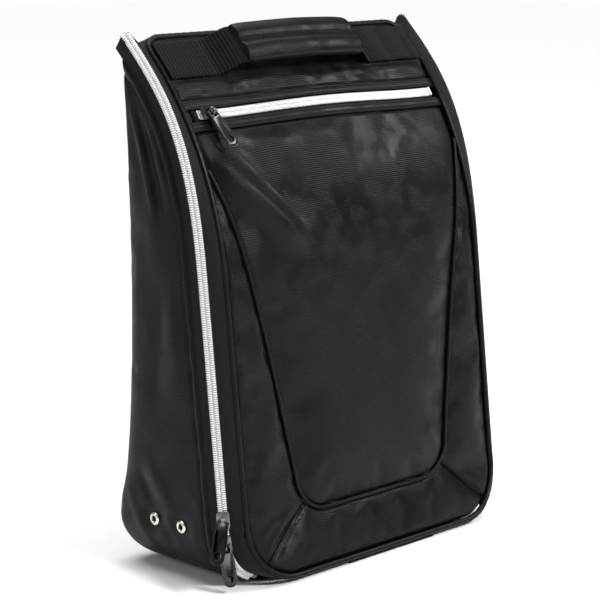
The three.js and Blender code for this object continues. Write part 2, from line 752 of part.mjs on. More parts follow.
function pocketBar(from, to, low, high, half) {
  return sheet(1, 1, (u, v) => {
    const run = pocketRun + from + (to - from) * v;
    const x = (2 * u - 1) * half;
    return [onLid(x, run, high), onLid(x, run, low)];
  });
}

for (const { name, sign } of [{ name: 'upper', sign: 1 }, { name: 'lower', sign: -1 }]) {
  const tapeHigh = pocketTapeOut;
  const tape = pocketBar(sign * coilInner, sign * 10, tapeHigh - POCKET_TAPE, tapeHigh, POCKET_HALF + 4);
  add(`pocket_tape_${name}`, tape, 'tape');
  const high = pocketCoilOut + COIL_DEPTH;
  const coil = pocketBar(sign * coilInner, sign * coilOuter, pocketCoilOut, high, POCKET_HALF);
  add(`pocket_coil_${name}`, coil, 'coil');
}
for (const { name, sign } of sides) {
  const stop = sheet(1, 1, (u, v) => {
    const x = sign * (POCKET_HALF + GAP + 2 * u);
    const run = pocketRun - 3 + 6 * v;
    return [onLid(x, run, pocketCoilOut + COIL_DEPTH), onLid(x, run, pocketCoilOut)];
  });
  add(`pocket_stop_${name}`, stop, 'slider');
}

// ---- sliders and pulls ------------------------------------------------------------------------------
// In a slider's own frame X runs along the zip away from the pull, Y across it and Z out.
const SLIDER_LENGTH = 12.6;
const SLIDER_HALF = 4.1;
const PLATE = 1.5;
const plateLow = COIL_DEPTH / 2 + GAP;
const plateHigh = plateLow + PLATE;
const LOWER_PLATE = 1;
const LOWER_PLATE_HALF = 3.8;
const POST_HALF = 0.24; // the post between the coil's two halves
const CROWN_RADIUS = 2.9;
const CROWN_HOLE = 1.9;
const CROWN_HALF = 1.1;
const PIN_RADIUS = 0.65;
const PIN_HEIGHT = plateHigh + 1.7;
const PULL_LENGTH = 27;
const PULL_HALF = 4.6;
const PULL_THICKNESS = 1.4;
const PULL_NECK = 3.8;
const ARM = 1;
const PULL_START = -4.4;
const PULL_EYE = 2.4;

function sliderOutline(near, far) {
  const shape = new THREE.Shape();
  const nose = SLIDER_LENGTH / 2;
  shape.moveTo(-nose, near * 0.72);
  shape.quadraticCurveTo(-nose - 0.7, (near + far) * 0.36, -nose, far * 0.72);
  shape.lineTo(-nose + 3.4, far);
  shape.lineTo(nose - 2, far);
  shape.quadraticCurveTo(nose, far, nose, far * 0.5);
  shape.lineTo(nose, near * 0.5);
  shape.quadraticCurveTo(nose, near, nose - 2, near);
  shape.lineTo(-nose + 3.4, near);
  shape.closePath();
  return shape;
}

// wing is the side of the lower plate: the lid's side only, so that the shell's half can leave it.
function sliderGeometry(wing, depthLow, crownYaw) {
  const upper = new THREE.ExtrudeGeometry(sliderOutline(-SLIDER_HALF, SLIDER_HALF), {
    depth: PLATE,
    bevelEnabled: false,
    curveSegments: 5,
  }).translate(0, 0, plateLow);
  const post = box(-1.2, 1.2, -POST_HALF, POST_HALF, depthLow, plateLow + 0.5);
  const wingEdge = wing * LOWER_PLATE_HALF;
  const [wingFrom, wingTo] = [Math.min(-POST_HALF, wingEdge), Math.max(POST_HALF, wingEdge)];
  const reach = SLIDER_LENGTH / 2 - 0.9;
  const lower = box(-reach, reach, wingFrom, wingTo, depthLow, depthLow + LOWER_PLATE);
  const disc = (radius, width) => new THREE.CylinderGeometry(radius, radius, width, 20);
  const ring = cut(disc(CROWN_RADIUS, 2 * CROWN_HALF), disc(CROWN_HOLE, 9)).translate(0, 0, PIN_HEIGHT);
  const crown = cut(ring, box(-6, 6, -3, 3, plateLow - 8, plateHigh - 0.3)).rotateZ(crownYaw);
  return join(upper, post, lower, crown);
}

function pullGeometry() {
  const shape = new THREE.Shape();
  const end = -PULL_LENGTH;
  const shoulder = PULL_START - 6;
  shape.moveTo(PULL_START, -PULL_NECK);
  shape.lineTo(shoulder, -PULL_HALF);
  shape.lineTo(end + PULL_HALF, -PULL_HALF);
  shape.absarc(end + PULL_HALF, 0, PULL_HALF, -Math.PI / 2, -Math.PI * 1.5, true);
  shape.lineTo(shoulder, PULL_HALF);
  shape.lineTo(PULL_START, PULL_NECK);
  shape.closePath();
  const blank = new THREE.ExtrudeGeometry(shape, {
    depth: PULL_THICKNESS,
    bevelEnabled: false,
    curveSegments: 5,
  }).translate(0, 0, -PULL_THICKNESS / 2);
  const eye = new THREE.CylinderGeometry(PULL_EYE, PULL_EYE, 5, 16).rotateX(Math.PI / 2);
  const plate = cut(blank, eye.translate(end + PULL_HALF + 1, 0, 0));
  const pin = new THREE.CylinderGeometry(PIN_RADIUS, PIN_RADIUS, 2 * PULL_NECK - 0.4, 12);
  const half = PULL_THICKNESS / 2;
  const arms = [-1, 1].map((sign) => {
    const middle = sign * (PULL_NECK - ARM / 2);
    return box(PULL_START - 1, PIN_RADIUS, middle - ARM / 2, middle + ARM / 2, -half, half);
  });
  return join(plate, pin, ...arms);
}

// The pull hinges on a pin through the slider's crown, and each may be turned about the way out.
function addSlider(name, point, [along, across, out], settings) {
  const { wing, depthLow, crownYaw = 0, pullYaw = 0, pullLift = 0 } = settings;
  const place = new THREE.Group();
  place.matrix.makeBasis(along, across, out);
  place.quaternion.setFromRotationMatrix(place.matrix);
  place.position.copy(point);
  bag.add(place);
  add(`${name}_slider`, sliderGeometry(wing, depthLow, crownYaw), 'slider', place);
  const pull = add(`${name}_pull`, pullGeometry(), 'slider', place);
  pull.position.z = PIN_HEIGHT;
  pull.rotation.set(0, pullLift, pullYaw, 'ZYX');
}

const UPPER_SLIDER_HEIGHT = 46.5;
const LOWER_SLIDER_ANGLE = 5 * DEGREE;
const UPPER_PULL_YAW = 14 * DEGREE;
const UPPER_PULL_LIFT = 17 * DEGREE; // it lies over the lower slider and its pull
const planeNormal = frontNormal(FRONT_LEAN);
const planeUp = upFace(FRONT_LEAN);
const wingLow = -COIL_DEPTH / 2 - 2.2 * GAP - LOWER_PLATE; // clear of the coil where it curves
const outwardAt = (angle) =>
  new THREE.Vector3(-Math.cos(angle), 0, 0).addScaledVector(planeUp, -Math.sin(angle));
const cornerCentre = inZipPlane(-(COIL_X - COIL_CORNER), SHELL_CORNER);
for (const { name, point, angle, pullYaw, pullLift } of [
  {
    name: 'upper',
    point: inZipPlane(-COIL_X, UPPER_SLIDER_HEIGHT),
    angle: 0,
    pullYaw: -UPPER_PULL_YAW,
    pullLift: UPPER_PULL_LIFT,
  },
  {
    name: 'lower',
    point: cornerCentre.clone().addScaledVector(outwardAt(LOWER_SLIDER_ANGLE), COIL_CORNER),
    angle: LOWER_SLIDER_ANGLE,
    pullYaw: 0,
    pullLift: 0,
  },
]) {
  const { across, out } = turnedStation(point, outwardAt(angle), planeNormal, 0, null);
  const along = across.clone().cross(out);
  addSlider(name, point, [along, across, out], { wing: -1, depthLow: wingLow, pullYaw, pullLift });
}

// The pocket's pull hangs down the slope, so its crown stands across the zip.
const POCKET_SLIDER_X = -101;
const POCKET_PULL_YAW = -75 * DEGREE;
const pocketLean = profile(pocketRun).lean;
addSlider(
  'pocket',
  onLid(POCKET_SLIDER_X, pocketRun, pocketCoilOut + COIL_DEPTH / 2),
  [new THREE.Vector3(-1, 0, 0), upFace(pocketLean).negate(), frontNormal(pocketLean)],
  { wing: 0, depthLow: -COIL_DEPTH / 2 + 0.3, crownYaw: POCKET_PULL_YAW, pullYaw: POCKET_PULL_YAW },
);

// ---- handle -----------------------------------------------------------------------------------------
const handleRun = runAtHeight(HANDLE_HEIGHT);
const handlePlace = profile(handleRun);
const LEG_FOOT = 73;
for (const { name, sign } of sides) {
  const anchor = sheet(1, 4, (u, v) => {
    const run = handleRun + WEBBING_HALF * (2 * v - 1);
    const inner = HANDLE_CENTRE + sign * (LEG_FOOT + GAP);
    const x = inner + (sign * innerRim(handleRun + WEBBING_HALF) - inner) * u;
    return [onLid(x, run, GAP + WEBBING), onLid(x, run, GAP)];
  });
  add(`webbing_anchor_${name}`, anchor, 'webbing');
}

// In the handle's frame X runs along the grip, Y up the slope and Z out.
const handle = new THREE.Group();
handle.matrix.makeBasis(
  new THREE.Vector3(1, 0, 0),
  upFace(handlePlace.lean),
  frontNormal(handlePlace.lean),
);
handle.quaternion.setFromRotationMatrix(handle.matrix);
handle.position.set(HANDLE_CENTRE, handlePlace.y, handlePlace.z);
bag.add(handle);

function roundedBox(halfWidth, halfHeight, radius) {
  const shape = new THREE.Shape();
  const [w, h] = [halfWidth - radius, halfHeight - radius];
  shape.absarc(w, h, radius, 0, Math.PI / 2);
  shape.absarc(-w, h, radius, Math.PI / 2, Math.PI);
  shape.absarc(-w, -h, radius, Math.PI, 1.5 * Math.PI);
  shape.absarc(w, -h, radius, 1.5 * Math.PI, 2 * Math.PI);
  shape.closePath();
  return shape;
}

const gripCentre = GRIP_LIFT + GRIP_HEIGHT / 2;
const alongGrip = (shape, half) =>
  new THREE.ExtrudeGeometry(shape, { depth: 2 * half, bevelEnabled: false, curveSegments: 4 })
    .rotateY(Math.PI / 2)
    .translate(-half, 0, gripCentre);
const inside = GRIP_WALL + GAP;
const sleeve = cut(
  alongGrip(roundedBox(GRIP_HEIGHT / 2, GRIP_WIDTH / 2, 3.4), GRIP_HALF_LENGTH),
  alongGrip(roundedBox(GRIP_HEIGHT / 2 - GRIP_WALL, GRIP_WIDTH / 2 - GRIP_WALL, 1.8), GRIP_HALF_LENGTH + 1),
);
add('grip_wrap', sleeve, 'cloth', handle);
const padding = roundedBox(GRIP_HEIGHT / 2 - inside, GRIP_WIDTH / 2 - inside, 1.5);
add('grip_padding', alongGrip(padding, GRIP_HALF_LENGTH - 1), 'foam', handle);

for (const { name, sign } of sides) {
  const leg = sheet(10, 1, (u, v) => {
    const x = GRIP_HALF_LENGTH + GAP + (LEG_FOOT - GRIP_HALF_LENGTH - GAP) * u;
    const rise = (gripCentre - GAP) * (1 - smooth(0, 1, u)) + GAP;
    const y = WEBBING_HALF * (2 * v - 1);
    return [new THREE.Vector3(sign * x, y, rise + WEBBING), new THREE.Vector3(sign * x, y, rise)];
  });
  add(`handle_leg_${name}`, leg, 'webbing', handle);
}

export default bag;
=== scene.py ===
"""The looks of the shoe bag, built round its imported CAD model.

Lengths are in millimetres until a mesh is made.
"""
import json
import math

import bmesh
import bpy
import numpy as np
from mathutils import Matrix, Vector, noise


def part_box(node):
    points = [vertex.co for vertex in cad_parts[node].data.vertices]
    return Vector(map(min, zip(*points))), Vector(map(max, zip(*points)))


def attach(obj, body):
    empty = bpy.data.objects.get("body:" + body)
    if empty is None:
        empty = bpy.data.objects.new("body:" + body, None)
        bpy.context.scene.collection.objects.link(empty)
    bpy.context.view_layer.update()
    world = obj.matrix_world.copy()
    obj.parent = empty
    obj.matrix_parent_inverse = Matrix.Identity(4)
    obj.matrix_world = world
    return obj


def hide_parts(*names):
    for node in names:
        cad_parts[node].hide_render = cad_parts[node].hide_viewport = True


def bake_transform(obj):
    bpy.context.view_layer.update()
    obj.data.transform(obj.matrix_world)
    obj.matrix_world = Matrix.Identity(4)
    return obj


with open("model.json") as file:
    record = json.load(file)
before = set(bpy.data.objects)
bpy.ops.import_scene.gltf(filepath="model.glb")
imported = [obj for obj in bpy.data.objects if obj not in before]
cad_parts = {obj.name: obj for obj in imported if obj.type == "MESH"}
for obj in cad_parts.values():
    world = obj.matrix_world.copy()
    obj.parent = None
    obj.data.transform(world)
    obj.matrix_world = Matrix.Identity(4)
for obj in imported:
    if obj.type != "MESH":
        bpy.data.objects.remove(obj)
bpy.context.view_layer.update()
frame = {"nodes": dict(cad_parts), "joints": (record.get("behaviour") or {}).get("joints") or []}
MM = 0.001
joints = {joint["name"]: joint for joint in frame["joints"]}


def corner(node, high, axis):
    """One side of a CAD node's box, in millimetres."""
    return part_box(node)[1 if high else 0][axis] / MM


# ---- driving dimensions, from the frame where it holds them -----------------------------------------
SHELL_HALF = corner("side_panel_right", True, 0)
SHELL_CORNER = 34
RIM_RADIUS = 2
LID_HALF = 119.6
LID_CORNER = 36
RIM_TOP_CORNER = 14
FLARE = 6
FLARE_RUN = 45
FRONT_Y, FRONT_Z = -52.2, 3.6
FRONT_LEAN = math.radians(6)
TOP_LEAN = math.radians(45)
FRONT_RUN = 195
BEND_RADIUS = 230
TOP_RUN = 16
FOLD_RADIUS = 2.5
STRETCHES = [
    (FRONT_RUN, 0),
    (BEND_RADIUS * (TOP_LEAN - FRONT_LEAN), TOP_LEAN - FRONT_LEAN),
    (TOP_RUN, 0),
    (FOLD_RADIUS * (math.pi - TOP_LEAN), math.pi - TOP_LEAN),
    (200, 0),
]
LID_RUN = sum(length for length, _ in STRETCHES[:3])
BACK_RUN = LID_RUN + STRETCHES[3][0]
RIM_TOP = LID_RUN - 2.5
ZIP_SETBACK = 8.5
ZIP_TURN = math.radians(45)
COIL_INNER, COIL_OUTER = 0.35, 3.15
COIL_X = SHELL_HALF - 4.2
COIL_CORNER = SHELL_CORNER - 4.2
COIL_END = math.radians(68)
ZIP_TOP_CORNER = 15
ZIP_TOP_RUN = BACK_RUN + 9.5
TOOTH_PITCH = 1.45
SIDE_EDGE = 9.2
POCKET_HEIGHT = 298
POCKET_HALF = 108
FACING_FROM, FACING_TO = 4.2, 11
PANEL_CORNER = 26
PANEL_FOOT_HALF = 73
BACK_TOP = 327
REAR_ROUND = 9  # radius of the rear upright edges
HANDLE_X = corner("grip_wrap", True, 0) / 2 + corner("grip_wrap", False, 0) / 2
GRIP_HALF = corner("grip_wrap", True, 0) - HANDLE_X
LEG_FOOT = 73
WEBBING_HALF = 14.5
WEBBING = 1.5


# ---- numbers ----------------------------------------------------------------------------------------
def smooth(low, high, value):
    t = np.clip((value - low) / (high - low), 0, 1)
    return t * t * (3 - 2 * t)


def profile(run):
    """The lid face's y, z and lean at a distance up it."""
    left = np.asarray(run, float)
    y, z = np.full(left.shape, float(FRONT_Y)), np.full(left.shape, float(FRONT_Z))
    lean = np.full(left.shape, FRONT_LEAN)
    for i, (length, turn) in enumerate(STRETCHES):
        step = np.minimum(left, length) if i == 0 else np.clip(left, 0, length)
        angle = turn * step / length
        if turn:
            radius = length / turn
            y = y + radius * (np.cos(lean) - np.cos(lean + angle))
            z = z + radius * (np.sin(lean + angle) - np.sin(lean))
        else:
            y = y + step * np.sin(lean)
            z = z + step * np.cos(lean)
        lean = lean + angle
        left = left - step
    return y, z, lean


RUNS = np.linspace(0, LID_RUN, 4000)
HEIGHTS = profile(RUNS)[1]


def run_at(height):
    return np.interp(height, HEIGHTS, RUNS)


def on_lid(x, run, out=0.0):
    x, run, out = np.broadcast_arrays(np.asarray(x, float), run, out)
    y, z, lean = profile(run)
    flare = FLARE * np.maximum(0, 1 - run / FLARE_RUN) ** 2
    return np.stack([x, y - flare - out * np.cos(lean), z + out * np.sin(lean)], -1)


def up_face(lean):
    return np.array([0, math.sin(lean), math.cos(lean)])


def face_normal(lean):
    return np.array([0, -math.cos(lean), math.sin(lean)])


def resample(values, at, axis=0):
    """Smooth values at places from 0 to 1 along one axis of an even grid."""
    values = np.moveaxis(values, axis, 0)
    t = np.asarray(at) * (len(values) - 1)
    i = np.minimum(t.astype(int), len(values) - 2)
    f = (t - i).reshape(-1, *[1] * (values.ndim - 1))
    padded = np.concatenate([2 * values[:1] - values[1:2], values, 2 * values[-1:] - values[-2:-1]])
    a, b, c, d = padded[i], padded[i + 1], padded[i + 2], padded[i + 3]
    made = b + 0.5 * f * (c - a + f * (2 * a - 5 * b + 4 * c - d + f * (3 * (b - c) + d - a)))
    return np.moveaxis(made, 0, axis)


def catmull(points, count):
    """A smooth line through points, spaced evenly along its length."""
    points = np.asarray(points, float)
    fine = resample(points, np.linspace(0, 1, 40 * len(points)))
    return even(fine, count)[0]


def even(line, count, *others):
    """line resampled at even lengths, with the other rows that go with its points."""
    length = np.concatenate([[0], np.cumsum(np.linalg.norm(np.diff(line, axis=0), axis=1))])
    at = np.linspace(0, length[-1], count)
    return [
        np.stack([np.interp(at, length, column) for column in values.T], 1) for values in (line, *others)
    ]


def unit(vectors):
    return vectors / np.linalg.norm(vectors, axis=-1, keepdims=True)


def waves(points, size, seed):
    """Smooth random heights from -1 to 1 at points, in lumps of about that size."""
    flat = points.reshape(-1, 3) / size
    made = [noise.noise(Vector((p[0] + seed, p[1] - seed, p[2] + 2 * seed))) for p in flat]
    return np.array(made).reshape(points.shape[:-1])


def fold(across, along, start, end, height, width, reach=0.18):
    """A ridge or valley between two points of a plane. It fades out at both ends."""
    start, end = np.array(start, float), np.array(end, float)
    length = np.linalg.norm(end - start)
    way = (end - start) / length
    da, db = across - start[0], along - start[1]
    t = (da * way[0] + db * way[1]) / length
    side = (-da * way[1] + db * way[0]) / width
    return height * np.exp(-side * side) * smooth(-reach, reach, t) * smooth(-reach, reach, 1 - t)


# ---- meshes -----------------------------------------------------------------------------------------
def piece(name, points, faces, material, body, uv=None, slot=None, replaces=()):
    mesh = bpy.data.meshes.new(name)
    mesh.from_pydata((np.asarray(points, float) * MM).tolist(), [], faces)
    mesh.polygons.foreach_set("use_smooth", np.ones(len(mesh.polygons), bool))
    if uv is not None:
        layer = mesh.uv_layers.new(name="uv")
        index = np.empty(len(mesh.loops), np.int32)
        mesh.loops.foreach_get("vertex_index", index)
        layer.data.foreach_set("uv", (np.asarray(uv, float) * MM)[index].ravel().astype(np.float32))
    mesh.materials.append(material)
    mesh.validate()
    obj = bpy.data.objects.new(name, mesh)
    bpy.context.scene.collection.objects.link(obj)
    return finish(obj, body, replaces)


def finish(obj, body, replaces=()):
    if isinstance(body, str):
        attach(obj, body)
    else:
        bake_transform(obj)
    if replaces:
        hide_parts(*replaces)
    return obj


def outward_faces(points, faces):
    """The faces of a closed mesh, turned round if they point in."""
    tri = np.array([[f[0], f[i], f[i + 1]] for f in faces for i in range(1, len(f) - 1)])
    a, b, c = points[tri[:, 0]], points[tri[:, 1]], points[tri[:, 2]]
    return faces if np.einsum("ij,ij->", a, np.cross(b, c)) > 0 else [f[::-1] for f in faces]


def normals_of(grid):
    return unit(np.cross(np.gradient(grid, axis=1), np.gradient(grid, axis=0)))


def lengths(grid):
    """The two distances along a grid, for its cloth's weave."""
    across = np.linalg.norm(np.diff(grid, axis=1), axis=2)
    along = np.linalg.norm(np.diff(grid, axis=0), axis=2)
    u = np.pad(np.cumsum(across, 1), ((0, 0), (1, 0)))
    v = np.pad(np.cumsum(along, 0), ((1, 0), (0, 0)))
    u = u - u[:, -1:] / 2
    return np.stack([u, np.broadcast_to(v.mean(1, keepdims=True), u.shape)], -1)


def slab(name, outer, inner, material, body, **more):
    """A closed sheet between two grids of points."""
    rows, columns = outer.shape[:2]
    k = np.arange(rows * columns).reshape(rows, columns)
    front = np.stack([k[:-1, :-1], k[:-1, 1:], k[1:, 1:], k[1:, :-1]], -1).reshape(-1, 4)
    rim = np.concatenate([k[0, :-1], k[:-1, -1], k[-1, :0:-1], k[:0:-1, 0]])
    after = np.roll(rim, -1)
    count = rows * columns
    edge = np.stack([after, rim, rim + count, after + count], -1)
    faces = np.concatenate([front, front[:, ::-1] + count, edge]).tolist()
    points = np.concatenate([outer.reshape(-1, 3), inner.reshape(-1, 3)])
    uv = np.tile(lengths(outer).reshape(-1, 2), (2, 1))
    return piece(name, points, outward_faces(points, faces), material, body, uv=uv, **more)


def skin(name, outer, thickness, inward, material, body, **more):
    """A sheet of even thickness behind a grid. inward is a direction that its back faces."""
    normal = normals_of(outer)
    normal *= np.sign((normal * np.asarray(inward)).sum(-1, keepdims=True))
    return slab(name, outer, outer + normal * thickness, material, body, **more)


def tube_parts(path, radius, sides=12, flat=1.0, first=None):
    """Points, faces and weave coordinates of a tube along a line, with round closed ends."""
    path = np.asarray(path, float)
    tangent = unit(np.gradient(path, axis=0))
    side = np.array(first if first is not None else (0.3, 0.2, 0.9), float)
    sides_of = []
    for t in tangent:
        side = side - t * (side @ t)
        side = side / np.linalg.norm(side)
        sides_of.append(side)
    side = np.array(sides_of)
    other = np.cross(tangent, side)
    radii = np.broadcast_to(np.asarray(radius, float), len(path))
    angle = np.linspace(0, 2 * math.pi, sides, endpoint=False)
    ring = side[:, None] * np.cos(angle)[:, None] * flat + other[:, None] * np.sin(angle)[:, None]
    rings = path[:, None] + ring * radii[:, None, None]
    ends = []
    for end, sign in ((0, -1), (-1, 1)):
        for share, size in ((0.5, 0.87), (0.87, 0.5)):
            centre = path[end] + tangent[end] * sign * share * radii[end]
            ends.append(centre + ring[end] * radii[end] * size)
    rings = np.concatenate([[ends[1], ends[0]], rings, [ends[2], ends[3]]])
    count = len(rings)
    k = np.arange(count * sides).reshape(count, sides)
    turn = np.roll(k, -1, axis=1)
    faces = np.stack([k[:-1], turn[:-1], turn[1:], k[1:]], -1).reshape(-1, 4).tolist()
    faces += [k[0, ::-1].tolist(), k[-1].tolist()]
    points = rings.reshape(-1, 3)
    run = np.concatenate([[0], np.cumsum(np.linalg.norm(np.diff(rings.mean(1), axis=0), axis=1))])
    around = np.abs(angle - math.pi) * np.mean(radii)
    uv = np.stack(np.broadcast_arrays(run[:, None], around[None, :]), -1).reshape(-1, 2)
    return points, outward_faces(points, faces), uv


def joined(parts):
    points, faces, uvs, start = [], [], [], 0
    for part in parts:
        points.append(part[0])
        faces += [[i + start for i in face] for face in part[1]]
        uvs.append(part[2])
        start += len(part[0])
    return np.concatenate(points), faces, np.concatenate(uvs)


def tube(name, path, radius, material, body, sides=12, flat=1.0, first=None, **more):
    points, faces, uv = tube_parts(path, radius, sides, flat, first)
    return piece(name, points, faces, material, body, uv=uv, **more)


def copies(template, faces, origins, xs, ys, zs):
    """One closed shape repeated at each origin, with its own three directions there."""
    template = np.asarray(template, float)
    basis = np.stack([xs, ys, zs], 1)
    points = origins[:, None] + np.einsum("pk,nkj->npj", template, basis)
    start = (np.arange(len(origins)) * len(template))[:, None, None]
    all_faces = (np.asarray(faces)[None] + start).reshape(-1, len(faces[0])).tolist()
    return points.reshape(-1, 3), all_faces


def bead(length, width, height, power=0.7):
    """A rounded block about its middle: points and four-sided faces."""
    points, columns, rows = [], 8, 5
    for i in range(rows):
        polar = math.pi * (i + 0.5) / rows
        for j in range(columns):
            turn = 2 * math.pi * (j + 0.5) / columns
            rim = math.sin(polar)
            raw = np.array([math.cos(polar), rim * math.cos(turn), rim * math.sin(turn)])
            soft = np.sign(raw) * np.abs(raw) ** power
            points.append(soft * np.array([length, width, height]) / 2)
    k = np.arange(rows * columns).reshape(rows, columns)
    turned = np.roll(k, -1, axis=1)
    faces = np.stack([k[:-1], k[1:], turned[1:], turned[:-1]], -1).reshape(-1, 4).tolist()
    for ring in (k[0], k[-1, ::-1]):
        faces += [[ring[0], ring[1], ring[2], ring[7]], [ring[7], ring[2], ring[3], ring[6]]]
        faces += [[ring[6], ring[3], ring[4], ring[5]]]
    points = np.array(points)
    return points, outward_faces(points, [list(map(int, face)) for face in faces])


STITCH, STITCH_PITCH = 2.5, 3.3
stitch_runs = {}


def sew(body, path, normal):
    """A row of stitches along a line on a surface, kept for that body's one stitch mesh."""
    count = max(2, int(np.linalg.norm(np.diff(path, axis=0), axis=1).sum() / STITCH_PITCH))
    line, normals = even(path, count, normal)
    along = unit(np.gradient(line, axis=0))
    normals = unit(normals - along * (normals * along).sum(-1, keepdims=True))
    template, faces = bead(STITCH, 0.5, 0.42, 0.9)
    made = copies(template, faces, line + normals * 0.05, along, np.cross(normals, along), normals)
    stitch_runs.setdefault(body, []).append((*made, np.zeros((len(made[0]), 2))))


# ---- materials --------------------------------------------------------------------------------------
class Nodes:
    """A small builder for one material's nodes."""

    def __init__(self, name):
        self.material = bpy.data.materials.new(name)
        self.material.use_nodes = True
        self.tree = self.material.node_tree
        self.shader = self.tree.nodes["Principled BSDF"]
        self.where = self.tree.nodes.new("ShaderNodeTexCoord").outputs["UV"]
        self.last_bump = None

    def node(self, kind, inputs=None, **settings):
        made = self.tree.nodes.new(kind)
        for key, value in settings.items():
            setattr(made, key, value)
        for key, value in (inputs or {}).items():
            if isinstance(value, bpy.types.NodeSocket):
                self.tree.links.new(value, made.inputs[key])
            else:
                made.inputs[key].default_value = value
        return made

    def noise(self, scale, detail=3.0, roughness=0.55):
        inputs = {"Vector": self.where, "Scale": scale, "Detail": detail, "Roughness": roughness}
        return self.node("ShaderNodeTexNoise", inputs).outputs["Fac"]

    def ribs(self, pitch, direction="Y", distortion=0.0):
        """Bands of that pitch in metres."""
        settings = {"wave_type": "BANDS", "bands_direction": direction}
        inputs = {"Vector": self.where, "Scale": math.pi / 10 / pitch, "Distortion": distortion}
        inputs |= {"Detail": 1.0, "Detail Scale": 2.0}
        return self.node("ShaderNodeTexWave", inputs, **settings).outputs["Fac"]

    def math(self, kind, a, b):
        return self.node("ShaderNodeMath", {0: a, 1: b}, operation=kind).outputs[0]

    def ramp(self, value, low, high, start=0.0, end=1.0):
        inputs = {"Value": value, "From Min": start, "From Max": end, "To Min": low, "To Max": high}
        return self.node("ShaderNodeMapRange", inputs).outputs[0]

    def mix(self, value, low, high):
        inputs = {0: value, 6: (*low, 1), 7: (*high, 1)}
        return self.node("ShaderNodeMix", inputs, data_type="RGBA").outputs[2]

    def bump(self, height, depth, strength=1.0):
        inputs = {"Height": height, "Distance": depth, "Strength": strength}
        if self.last_bump:
            inputs["Normal"] = self.last_bump
        self.last_bump = self.node("ShaderNodeBump", inputs).outputs[0]
        self.tree.links.new(self.last_bump, self.shader.inputs["Normal"])

    def set(self, **values):
        for key, value in values.items():
            socket = self.shader.inputs[key.replace("_", " ")]
            if isinstance(value, bpy.types.NodeSocket):
                self.tree.links.new(value, socket)
            else:
                socket.default_value = value


def edge_wear_and_glint(nodes, colour, edge):
    """Edges and ridges made a little paler: wear on the cloth, a painted highlight on the black sliders' and
    pulls' edges, paler brass on the eyelets' edges.
    """
    point = nodes.node("ShaderNodeNewGeometry").outputs["Pointiness"]
    wear_and_glint_mask = nodes.ramp(point, 0.0, 1.0, 0.52, 0.62)
    wear_and_glint_mask = nodes.math("MULTIPLY", wear_and_glint_mask, nodes.noise(160))
    inputs = {0: wear_and_glint_mask, 6: colour, 7: (*edge, 1)}
    return nodes.node("ShaderNodeMix", inputs, data_type="RGBA").outputs[2]


def coated_cloth(name, colour, paler, roughness):
    nodes = Nodes(name)
    blotch = nodes.noise(28, 4)
    ribs = nodes.ribs(0.0014, "Y", 0.25)
    threads = nodes.ribs(0.0009, "X", 0.8)
    patch = nodes.ramp(nodes.noise(55, 2), 0.15, 1.0, 0.42, 0.6)
    weave = nodes.math("MULTIPLY", nodes.math("ADD", ribs, nodes.math("MULTIPLY", threads, 0.35)), patch)
    base = nodes.mix(nodes.ramp(blotch, 0, 1, 0.3, 0.7), colour, paler)
    nodes.set(Base_Color=edge_wear_and_glint(nodes, base, tuple(c * 1.8 for c in paler)))
    rough = nodes.ramp(blotch, roughness - 0.06, roughness + 0.07, 0.3, 0.7)
    nodes.set(Roughness=nodes.math("ADD", rough, nodes.math("MULTIPLY", weave, 0.05)))
    nodes.set(Specular_IOR_Level=0.12)
    nodes.bump(weave, 0.00014, 0.8)
    nodes.bump(nodes.noise(900, 2), 0.00008, 0.6)
    nodes.bump(nodes.noise(60, 2), 0.0006, 0.15)
    return nodes.material


def woven(name, colour, paler, pitch, depth, direction="X", roughness=0.85):
    """Matt ribbed tape, webbing or lining."""
    nodes = Nodes(name)
    ribs = nodes.ribs(pitch, direction, 0.4)
    cross = nodes.ribs(pitch * 0.55, "Y" if direction == "X" else "X", 0.6)
    weave = nodes.math("ADD", ribs, nodes.math("MULTIPLY", cross, 0.4))
    fuzz = nodes.noise(600, 4, 0.7)
    shade = nodes.math("MULTIPLY", weave, fuzz)
    nodes.set(Base_Color=nodes.mix(nodes.ramp(shade, 0, 1, 0.1, 0.8), colour, paler))
    nodes.set(Roughness=nodes.ramp(fuzz, roughness - 0.08, roughness + 0.08))
    nodes.set(Specular_IOR_Level=0.12, Sheen_Weight=0.02, Sheen_Roughness=0.5)
    nodes.bump(weave, depth, 0.9)
    nodes.bump(fuzz, 0.00012, 0.6)
    return nodes.material


def nylon(name, colour, shadow):
    nodes = Nodes(name)
    nodes.where = nodes.node("ShaderNodeTexCoord").outputs["Object"]
    grain = nodes.noise(500, 3)
    nodes.set(Base_Color=nodes.mix(nodes.ramp(grain, 0, 1, 0.3, 0.7), shadow, colour))
    nodes.set(Roughness=nodes.ramp(grain, 0.38, 0.52), Specular_IOR_Level=0.45)
    nodes.set(Subsurface_Weight=0.08, Subsurface_Scale=0.001)
    nodes.bump(grain, 0.00004, 0.4)
    return nodes.material


def metal(name, colour, edge_wear_and_glint_colour, roughness, metallic):
    nodes = Nodes(name)
    nodes.where = nodes.node("ShaderNodeTexCoord").outputs["Object"]
    grain = nodes.noise(700, 4)
    # The edge colour paints the edges paler: a painted highlight on the black slider metal, paler brass on
    # the eyelets.
    nodes.set(Base_Color=edge_wear_and_glint(nodes, nodes.mix(grain, colour, tuple(c * 1.3 for c in colour)), edge_wear_and_glint_colour))
    nodes.set(Roughness=nodes.ramp(grain, roughness - 0.06, roughness + 0.1), Metallic=metallic)
    nodes.set(Coat_Weight=0.25, Coat_Roughness=0.2)
    nodes.bump(grain, 0.00003, 0.3)
    return nodes.material


def plain_noise(name, colour, paler, scale, depth, roughness):
    nodes = Nodes(name)
    nodes.where = nodes.node("ShaderNodeTexCoord").outputs["Object"]
    cells = nodes.noise(scale, 5, 0.65)
    nodes.set(Base_Color=nodes.mix(cells, colour, paler), Roughness=roughness, Specular_IOR_Level=0.2)
    nodes.bump(cells, depth, 0.8)
    return nodes.material


